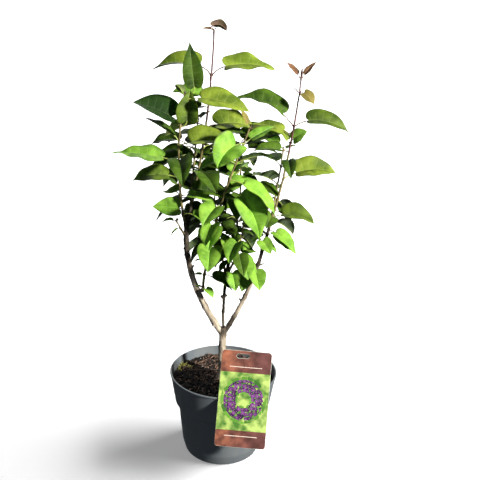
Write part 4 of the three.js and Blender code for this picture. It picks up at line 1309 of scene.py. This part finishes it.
# %% [markdown]
# ## Stems and buds
#
# A shoot is round and smooth, swells a little at each pair of leaves, and turns slightly there. Old
# growth is brown-green, the top of a leader is still dark purple. In each axil sits a pointed bud,
# and a leader ends in a larger one.

# %% Grow the stems
# The left leader's end is tucked under its topmost leaf and bears no bud.
TUCKED, TUCKED_TO = "left_leader_shoot", 0.986


def make_living(bundles, colours, scale, roughness, depth_mm, **patch_values):
    """One piece of each bundle, in a living skin: patchy colour, a soft sheen and a fine grain."""
    for name, (dark, light) in colours.items():
        finish = patchy_material(name, dark, light, scale, roughness, depth_mm,
                                 extras=dict(Specular_IOR_Level=0.4), **patch_values)
        make_piece(name, bundles[name].mesh(name), [finish], SHOOTS, sharp=60)


stems = {"twigs_brown": Bundle(), "twigs_purple": Bundle(), "twigs_fine": Bundle()}
for name, shoot in SHOOTS.items():
    share = np.linspace(0, 1, 12 * len(shoot["pairs"]) + 1)
    span = np.linalg.norm(np.subtract(shoot["tip"], shoot["foot"]))
    radii = STEM["foot"] + (STEM["tip"] - STEM["foot"]) * share
    radii = swollen(radii, share, shoot["pairs"], 0.55, 2.4 / span)
    path = bowed(shoot, share * (TUCKED_TO if name == TUCKED else 1))
    corner_pull = np.exp(-((share[:, None] - np.array(shoot["pairs"])) * span / 5) ** 2)
    turn = (np.arange(len(shoot["pairs"])) * 90 + shoot["first"]) * DEG
    path[1:, :2] += (corner_pull @ (0.8 * np.stack([np.cos(turn), np.sin(turn)], 1)))[1:]
    if name.endswith("leader_shoot"):
        split = int(len(share) * 0.55)
        stems["twigs_brown"].add(*tube(path[:split + 1], radii[:split + 1], 12))
        stems["twigs_purple"].add(*tube(path[split:], radii[split:], 12))
    else:
        stems["twigs_brown"].add(*tube(path, radii, 12))
for _, twig in SPRAYS:
    stems["twigs_fine"].add(*tube(bowed(twig, np.linspace(0, 1, 7)), np.linspace(1.1, 0.6, 7), 7))

STEM_COLOURS = {"twigs_brown": ((0.07, 0.055, 0.02), (0.27, 0.22, 0.09)),
                "twigs_purple": ((0.045, 0.018, 0.02), (0.16, 0.07, 0.06)),
                "twigs_fine": ((0.12, 0.14, 0.03), (0.3, 0.32, 0.09))}
make_living(stems, STEM_COLOURS, 160, 0.5, 0.2, detail=6, stretch=(1, 1, 0.4))


def bud(foot, way, long, wide):
    """A pointed egg: a tube along `way` whose radius swells and closes."""
    t = np.linspace(0, 1, 9)
    shape = np.array([0.5, 0.85, 1.0, 1.0, 0.9, 0.72, 0.5, 0.25, 0.03])
    return tube(foot + t[:, None] * long * np.asarray(way), shape * wide, 8)


buds = {"buds_green": Bundle(), "buds_dark": Bundle()}
for leaf in crown.leaves:
    if leaf["spray"]:
        continue
    way = heading(leaf["pose"][BEARING], 66 * DEG)
    foot = leaf["root"] + heading(leaf["pose"][BEARING], 0.2) * 1.6
    upper = leaf["pair"] >= len(SHOOTS[leaf["name"]]["pairs"]) - 3
    buds["buds_dark" if upper else "buds_green"].add(*bud(foot, way, 3.6, 1.05))
for name, shoot in SHOOTS.items():
    if name == TUCKED:
        continue
    way = unit(bowed(shoot, 1.0) - bowed(shoot, 0.97))
    long = 15 if name == "right_leader_shoot" else 5
    buds["buds_dark"].add(*bud(np.array(shoot["tip"]) - way, way, long, 1.2 + 0.05 * long))
BUD_COLOURS = {"buds_green": ((0.09, 0.12, 0.03), (0.25, 0.26, 0.08)),
               "buds_dark": ((0.04, 0.02, 0.018), (0.13, 0.07, 0.05))}
make_living(buds, BUD_COLOURS, 420, 0.45, 0.15, detail=5)

# %% [markdown]
# ## Leaves
#
# A lilac leaf is smooth-edged and heart-shaped. It folds up along its midrib, its flesh
# bulges between the side veins, and the veins lie in grooves. A flat card with a picture on it
# would look like paper from the side. Here each leaf is a closed thin shell: rows of corners follow
# the side veins, so that the bulges between them fall into place, and the shell is thickest
# at its midrib. Every corner also carries its place on the leaf, from which the material
# draws the veins. All leaves of a colour are worked out at once.


# %% Shape the blades
VEINS, BLADE_STEPS = 7, 40


def leaf_grid(rows, across):
    """Row and column numbers for a shell: s runs along the leaf, v across its top, and back on
    its underside; `face` is 1 on top, -1 below and 0 on the edge."""
    s = np.arange(1, rows) / rows
    top = np.concatenate([-np.array(across)[::-1], [0.0], across])
    v = np.concatenate([top, top[1:-1][::-1]])
    face = np.concatenate([np.ones(len(top)), -np.ones(len(top) - 2)])
    face[[0, len(top) - 1]] = 0
    return np.repeat(s[:, None], len(v), 1), np.repeat(v[None], len(s), 0), face


def leaf_shells(leaves, rows, across, chance):
    """Closed shells of many leaves as arrays: corners (leaf, corner, 3), the faces of one leaf on
    its top and on its underside, and the values that its corners carry. Rows lie at u = s to the
    power 1.4 and lean towards the tip further out, as side veins do. Across, a corner stands at
    v times half the width; broad leaves swell more and their lobes reach further back. Its height
    is half the width times the sine of the fold times a dome of |v|, plus bulges between the
    veins, plus a wave that grows towards the rim, plus or minus half the thickness."""
    roots = np.array([leaf["root"] for leaf in leaves])
    poses = np.array([leaf["pose"] for leaf in leaves])
    count = len(leaves)
    s, v, face = leaf_grid(rows, across)
    ring = s.shape[1]
    start = s ** 1.4
    u = start + 0.3 * np.abs(v) ** 1.3 * start * (1 - start)
    length, width = poses[:, LENGTH][:, None, None], poses[:, WIDTH][:, None, None]
    broad = smooth_step(width, 0.6, 0.76)
    lobe_end = np.sqrt(1 - (1 - np.minimum(u / 0.1, 1)) ** 2)
    half = half_width(u, width * (1 + 0.2 * broad), 0.75 - 0.1 * broad, 0.5 - 0.22 * broad)
    half = half * length * lobe_end
    back = (0.13 + 0.1 * broad) * np.abs(v) * (1 - u) ** 3 * length * lobe_end
    vary = lambda spread: chance.normal(0, spread, (count, 1, 1))
    dome = np.abs(v) + 0.22 * np.sin(np.pi * np.abs(v))
    lift = half * np.sin(LEAF["fold"]) * dome * (1 + 0.25 * vary(1))
    bulge = np.sin(np.pi * VEINS * s) ** 2 * np.sin(np.pi * np.minimum(np.abs(v), 0.97)) ** 0.6
    lift = lift + 0.0065 * length * bulge * (1 - 0.5 * s)
    wave = np.sin(2 * np.pi * (u * chance.uniform(1.6, 3.2, (count, 1, 1))
                               + chance.uniform(0, 1, (count, 1, 1))) + np.pi * (v > 0))
    lift = lift + wave * np.abs(v) ** 2.5 * length * 0.017 * (1 + 0.4 * vary(1))
    lift = lift + face * (0.10 + 0.16 * (1 - np.abs(v)) ** 2)
    shells = blade_points(roots, poses, u, v, half, back, lift, BLADE_STEPS, vary(0.16), vary(0.035))
    centre, none = np.zeros((1, 1)), 0 * length
    ends = [blade_points(roots, poses, centre + end, centre, none, none, none, BLADE_STEPS)
            for end in (0, 1)]
    tip_shift = shells[:, -1:].mean(2, keepdims=True) - shells[:, -2:-1].mean(2, keepdims=True)
    ends[1] = shells[:, -1:].mean(2, keepdims=True) + tip_shift * 0.9
    corners = np.concatenate([part.reshape(count, -1, 3) for part in (shells, *ends)], 1)
    walls, *fans = ring_faces(rows - 1, ring)
    columns = walls[:, 0] % ring, np.tile(np.arange(ring), 2)
    on_top = [column < 2 * len(across) for column in columns]
    sides = [[block[mask] for block, mask in zip((walls, np.vstack(fans)), masks)]
             for masks in (on_top, [~mask for mask in on_top])]
    values = {"leaf_s": np.append(s, [0, 1]), "leaf_v": np.append(np.abs(v), [0, 0])}
    middle = np.concatenate([(np.abs(v) * half).reshape(count, -1), np.zeros((count, 2))], 1)
    return corners, sides, values, middle


def add_leaves(bundle, leaves, rows, across, chance):
    """Adds leaves to a bundle, top faces with material 0 and underside faces with material 1."""
    if not leaves:
        return
    corners, (top, under), values, middle = leaf_shells(leaves, rows, across, chance)
    tones = chance.uniform(0, 1, len(leaves))
    for shell, from_middle, tone in zip(corners, middle, tones):
        base = bundle.count
        bundle.add(shell, top, 0, leaf_middle=from_middle, leaf_tone=tone, **values)
        for block in under:
            bundle.faces.extend((block + base).tolist())
            bundle.finishes.append(np.full(len(block), 1))


# %% [markdown]
# The veins are drawn in the material, from the numbers that every corner carries: how far along the
# leaf it is, how far out, and how many millimetres from the midrib. A leaf is thin enough for light
# to come through, so its shader scatters some light below the surface.


# %% Colour the leaves
def make_leaf_marks():
    """Masks of a leaf: Veins is the midrib and the side veins, which fade outwards; Margin is the
    rim; Tone is the leaf's own number. Side veins lie where |sin(pi times their count times s)|
    is small, and the midrib is what lies less than 1.3 mm from the middle."""
    group, net, given, result = new_group("leaf marks", {"Vein Count": "Float"},
                                          {"Veins": "Float", "Margin": "Float", "Tone": "Float"})
    phase = net.math("MULTIPLY", net.attribute("leaf_s"), given.outputs["Vein Count"])
    wave = net.math("ABSOLUTE", net.math("SINE", net.math("MULTIPLY", phase, float(np.pi))))
    outwards, soft = net.attribute("leaf_v"), dict(shape="SMOOTHSTEP")
    side = net.ramp(net.math("SUBTRACT", 0.27, wave), 0.0, 0.2, **soft)
    fading = net.ramp(net.math("SUBTRACT", 1.0, outwards), 0.05, 0.7, **soft)
    side = net.math("MULTIPLY", net.math("MULTIPLY", side, fading), 0.75)
    rib = net.ramp(net.math("SUBTRACT", 1.3, net.attribute("leaf_middle")), 0.0, 0.9, **soft)
    for name, value in {"Veins": net.math("MAXIMUM", side, rib), "Tone": net.attribute("leaf_tone"),
                        "Margin": net.ramp(outwards, 0.9, 1.0, **soft)}.items():
        net.links.new(value, result.inputs[name])
    return group


LEAF_MARKS = make_leaf_marks()


def leaf_material(name, dark, light, vein, margin, roughness, shine, depth_mm):
    """Blade colour from patches and the leaf's own tone, veins and margin over it, a bump of
    fine cells and vein grooves, and light that scatters through."""
    material, net, shader = new_material(
        name, roughness, Specular_IOR_Level=shine, Subsurface_Weight=0.25, Subsurface_Scale=0.0012,
        Subsurface_Radius=(0.6, 1.0, 0.2))
    patches = net.patches(dark, light, 46, detail=5, spread=0.13)
    marks = net.new("Group", {"Vein Count": VEINS}, node_tree=LEAF_MARKS).outputs
    average = tuple(0.5 * (d + l) for d, l in zip(dark, light))
    colour = net.mix(net.math("MULTIPLY", marks["Tone"], 0.5), patches.outputs["Color"], average)
    toned = {"Color": colour, "Value": net.ramp(marks["Tone"], 0, 1, 0.72, 1.2)}
    colour = net.new("HueSaturation", toned).outputs["Color"]
    colour = net.mix(net.math("MULTIPLY", marks["Veins"], 0.2), colour, vein)
    colour = net.mix(net.math("MULTIPLY", marks["Margin"], 0.55), colour, margin)
    net.links.new(colour, shader.inputs["Base Color"])
    cells = net.new("TexVoronoi", {"Vector": net.place(), "Scale": 900}).outputs["Distance"]
    height = net.math("MULTIPLY_ADD", marks["Veins"], -1.0, net.math("MULTIPLY", cells, -0.5))
    net.bump(shader, height, depth_mm)
    return material


# The deep and shade greens are painted shade: darker greens for leaves that lie in shade at the back and
# inside the crown.
LEAF_COLOURS = {
    "olive": ((0.055, 0.1, 0.008), (0.25, 0.33, 0.035)),
    "green": ((0.03, 0.06, 0.005), (0.13, 0.2, 0.018)),
    "fresh": ((0.09, 0.215, 0.018), (0.26, 0.49, 0.055)),
    "deep": ((0.018, 0.045, 0.005), (0.08, 0.15, 0.014)),
    "shade": ((0.006, 0.02, 0.004), (0.022, 0.055, 0.01)),
    "bronze": ((0.07, 0.028, 0.014), (0.28, 0.15, 0.075)),
    "gold": ((0.11, 0.095, 0.018), (0.26, 0.215, 0.05)),
}
chance = np.random.default_rng(8)

# Which colour a leaf gets: from which pair upwards a shoot is bronze or olive, and how far back a
# leaf's root must be, in mm, for it to be deep green, a painted shade, in any case. No shoot has NEVER
# pairs.
BRONZE_FROM = {"left_leader_shoot": 6, "right_leader_shoot": 7, "side_shoot": 10}
OLIVE_FROM = {"left_leader_shoot": 2, "right_leader_shoot": 1, "left_front_shoot": 4}
BACK, NEVER = 14, 99
# Leaves whose colour is set, by shoot, as pair and side. Deep and shade green here are painted shade for
# leaves that lie in shade.
COLOUR_SET = {
    "gold": {"right_leader_shoot": [(7, 0), (7, 1)], "side_shoot": [(10, 0), (10, 1)]},
    "green": {"right_leader_shoot": [(6, 1), (1, 1)], "left_front_shoot": [(2, 0), (5, 1)]},
    "deep": {"right_leader_shoot": [(6, 0), (4, 1)], "side_shoot": [(1, 0)],
             "left_front_shoot": [(3, 1), (4, 0), (7, 0)]},
    "shade": {"left_front_shoot": [(5, 0)]},
    "fresh": {"left_leader_shoot": [(4, 1)], "left_front_shoot": [(6, 1), (3, 0), (0, 0)],
              "right_leader_shoot": [(5, 1), (0, 1)], "right_spur": [(1, 0)],
              "side_shoot": [(9, 0), (9, 1), (7, 0), (6, 0), (5, 0), (4, 0), (3, 0), (0, 0)],
              "centre_front_shoot": [(2, 0), (1, 0)]},
}
SET_COLOURS = {(name, *place): colour for colour, shoots in COLOUR_SET.items()
               for name, places in shoots.items() for place in places}


def colour_of(leaf):
    """Bronze at the leaders' tips, olive in full light just below, fresh green further down, and
    deep green, a painted shade, at the back and for a share of other leaves picked at random, more often
    the small leaves of the sprays inside the crown."""
    if "colour" in leaf:
        return leaf["colour"]
    place = leaf["name"], leaf["pair"], leaf["side"]
    if place in SET_COLOURS:
        return SET_COLOURS[place]
    if leaf["pair"] >= BRONZE_FROM.get(leaf["name"], NEVER):
        return "bronze"
    if leaf["pair"] >= OLIVE_FROM.get(leaf["name"], NEVER):
        return "olive"
    often = 0.45 if leaf["spray"] else 0.2
    return "deep" if leaf["root"][1] > BACK or chance.uniform() < often else "fresh"


blades = {colour: Bundle() for colour in LEAF_COLOURS}
sorted_leaves = {colour: ([], []) for colour in LEAF_COLOURS}
for leaf in crown.leaves:
    sorted_leaves[colour_of(leaf)][leaf["pose"][LENGTH] < SMALL].append(leaf)
for colour, (large, small) in sorted_leaves.items():
    add_leaves(blades[colour], large, 28, (0.1, 0.3, 0.56, 0.8, 1.0), chance)
    add_leaves(blades[colour], small, 14, (0.2, 0.6, 1.0), chance)
    dark, light = LEAF_COLOURS[colour]
    pale = tuple(0.55 * value + 0.1 for value in light)
    vein = tuple(min(1.35 * value + 0.1, 1) for value in light)
    rim = tuple(0.5 * value for value in dark)
    top = leaf_material(f"{colour} leaf top", dark, light, vein, rim, 0.58,
                        0.08 if colour in ("deep", "shade") else 0.16, 0.2)
    under = leaf_material(f"{colour} leaf underside", tuple(1.2 * v for v in dark), pale, vein, rim,
                          0.6, 0.3, -0.3)
    make_piece(f"leaves_{colour}", blades[colour].mesh(f"leaves_{colour}"), [top, under],
               SHOOTS, sharp=50)

# %% [markdown]
# A petiole joins each leaf to its stem. It is thick where it leaves the stem, thin in the middle,
# and goes on under the blade as the raised midrib. Both are one tube along the leaf's midline,
# which sinks half its own radius below the blade.

# %% Join the leaves to their stems
STALK, RIB = 8, 12
petioles = {"petioles_green": Bundle(), "petioles_purple": Bundle()}
for leaf in crown.leaves:
    root, pose = leaf["root"][None], leaf["pose"][None]
    line = midlines(root, pose, STALK, RIB)[0]
    size = min(1.0, 0.45 + leaf["pose"][LENGTH] / 110)
    reach = np.linspace(0, 1, STALK + 1)
    radii = size * np.concatenate([np.interp(reach, [0, 0.12, 0.5, 1], [1.6, 1.1, 0.85, 0.95]),
                                   np.linspace(0.8, 0.12, RIB)])
    bearing, tilt, arch, roll = leaf["pose"][:LENGTH]
    rise = np.concatenate([np.full(STALK + 1, tilt), tilt - arch * np.arange(1, RIB + 1) / RIB])
    under = heading(bearing, rise + np.pi / 2)
    side = np.cross(heading(bearing, rise), under)
    sink = np.concatenate([np.zeros(STALK), np.full(RIB + 1, 0.5)])[:, None] * radii[:, None]
    line = line - (under * np.cos(roll) + side * np.sin(roll)) * sink
    young = leaf["name"].endswith("leader_shoot") and leaf["pair"] >= len(SHOOTS[leaf["name"]]["pairs"]) - 4
    kind = "petioles_purple" if young else "petioles_green"
    petioles[kind].add(*tube(line[:-1], radii[:-1], 5 if leaf["spray"] else 7))
PETIOLE_COLOURS = {"petioles_green": ((0.16, 0.22, 0.03), (0.42, 0.48, 0.12)),
                   "petioles_purple": ((0.06, 0.03, 0.02), (0.2, 0.13, 0.06))}
make_living(petioles, PETIOLE_COLOURS, 120, 0.45, 0.1, detail=4)

# %% [markdown]
# ## Studio and light
#
# The floor curves up into a round wall far away, so that no horizon shows from any side. It glows a
# little by itself, and its glow and its bounce are kept off the plant, as if the plant stood
# outdoors and was seen before white paper. A small, strong light on the right stands for the sun:
# small enough to draw shadows, large enough to soften their edges. A dim sky fills them.

# %% Set the stage
FLOOR_OUTLINE = [(0, 3500), (3000, 3500), (3000, 800), (2905, 420), (2765, 200), (2580, 60), (2300, 0),
                 (1200, 0), (0, 0)]
corners, (walls, _, middle_fan) = turned(FLOOR_OUTLINE, 96)
studio = link_new("studio_floor", Bundle().add(corners, [walls, middle_fan]).mesh("studio_floor"))
studio.data.shade_smooth()


def paper_material():
    """White paper that glows more the further out it is, so that shade shows near the pot only."""
    material, net, shader = new_material("studio paper", 0.9, Emission_Strength=1.0)
    paper = net.patches((0.78, 0.78, 0.78), (0.82, 0.82, 0.815), 3)
    net.links.new(paper.outputs["Color"], shader.inputs["Base Color"])
    away = net.new("VectorMath", {0: net.place()}, operation="LENGTH").outputs["Value"]
    net.links.new(net.ramp(away, 0.42, 1.1, 0.27, 1.0), shader.inputs["Emission Color"])
    return material


studio.data.materials.append(paper_material())
studio.visible_diffuse = studio.visible_glossy = False

# Each light: its place and size in metres, its power in watts and its colour. All point at LIT.
LIT = (0, 0, 0.3)
LIGHTS = {"sun": ((1.80, -1.37, 1.32), 0.22, 160, (1.0, 0.97, 0.9)),
          "sky_front": ((-1.3, -2.2, 1.5), 1.8, 5.6, (0.62, 0.8, 1.0)),
          "sky_back": ((-0.5, 2.0, 1.9), 1.5, 26, (0.95, 0.98, 1.0)),
          "floor_light": ((2.6, 0.5, 1.3), 3.1, 470, (1.0, 1.0, 1.0))}
SKY_COLOUR, SKY_STRENGTH = (0.93, 0.96, 1.0, 1.0), 0.08
lit_floor, lit_plant = (bpy.data.collections.new(name) for name in ("lit_floor", "lit_plant"))
lit_floor.objects.link(studio)
for piece in list(bpy.context.scene.collection.all_objects):
    if piece.type == "MESH" and piece != studio:
        lit_plant.objects.link(piece)
for name, (place, size, power, colour) in LIGHTS.items():
    lamp = bpy.data.lights.new(name, "AREA")
    lamp.size, lamp.energy, lamp.color = size, power, colour
    light = link_new(name, lamp)
    back = unit(np.array(place) - LIT)
    flat = unit(np.cross([0, 0, 1], back))
    light.matrix_world = stood(flat, np.cross(back, flat), back, place)
    light.light_linking.receiver_collection = lit_floor if name == "floor_light" else lit_plant
world = bpy.data.worlds.new("sky")
world.use_nodes = True
sky = world.node_tree.nodes["Background"]
sky.inputs["Color"].default_value, sky.inputs["Strength"].default_value = SKY_COLOUR, SKY_STRENGTH
bpy.context.scene.world = world
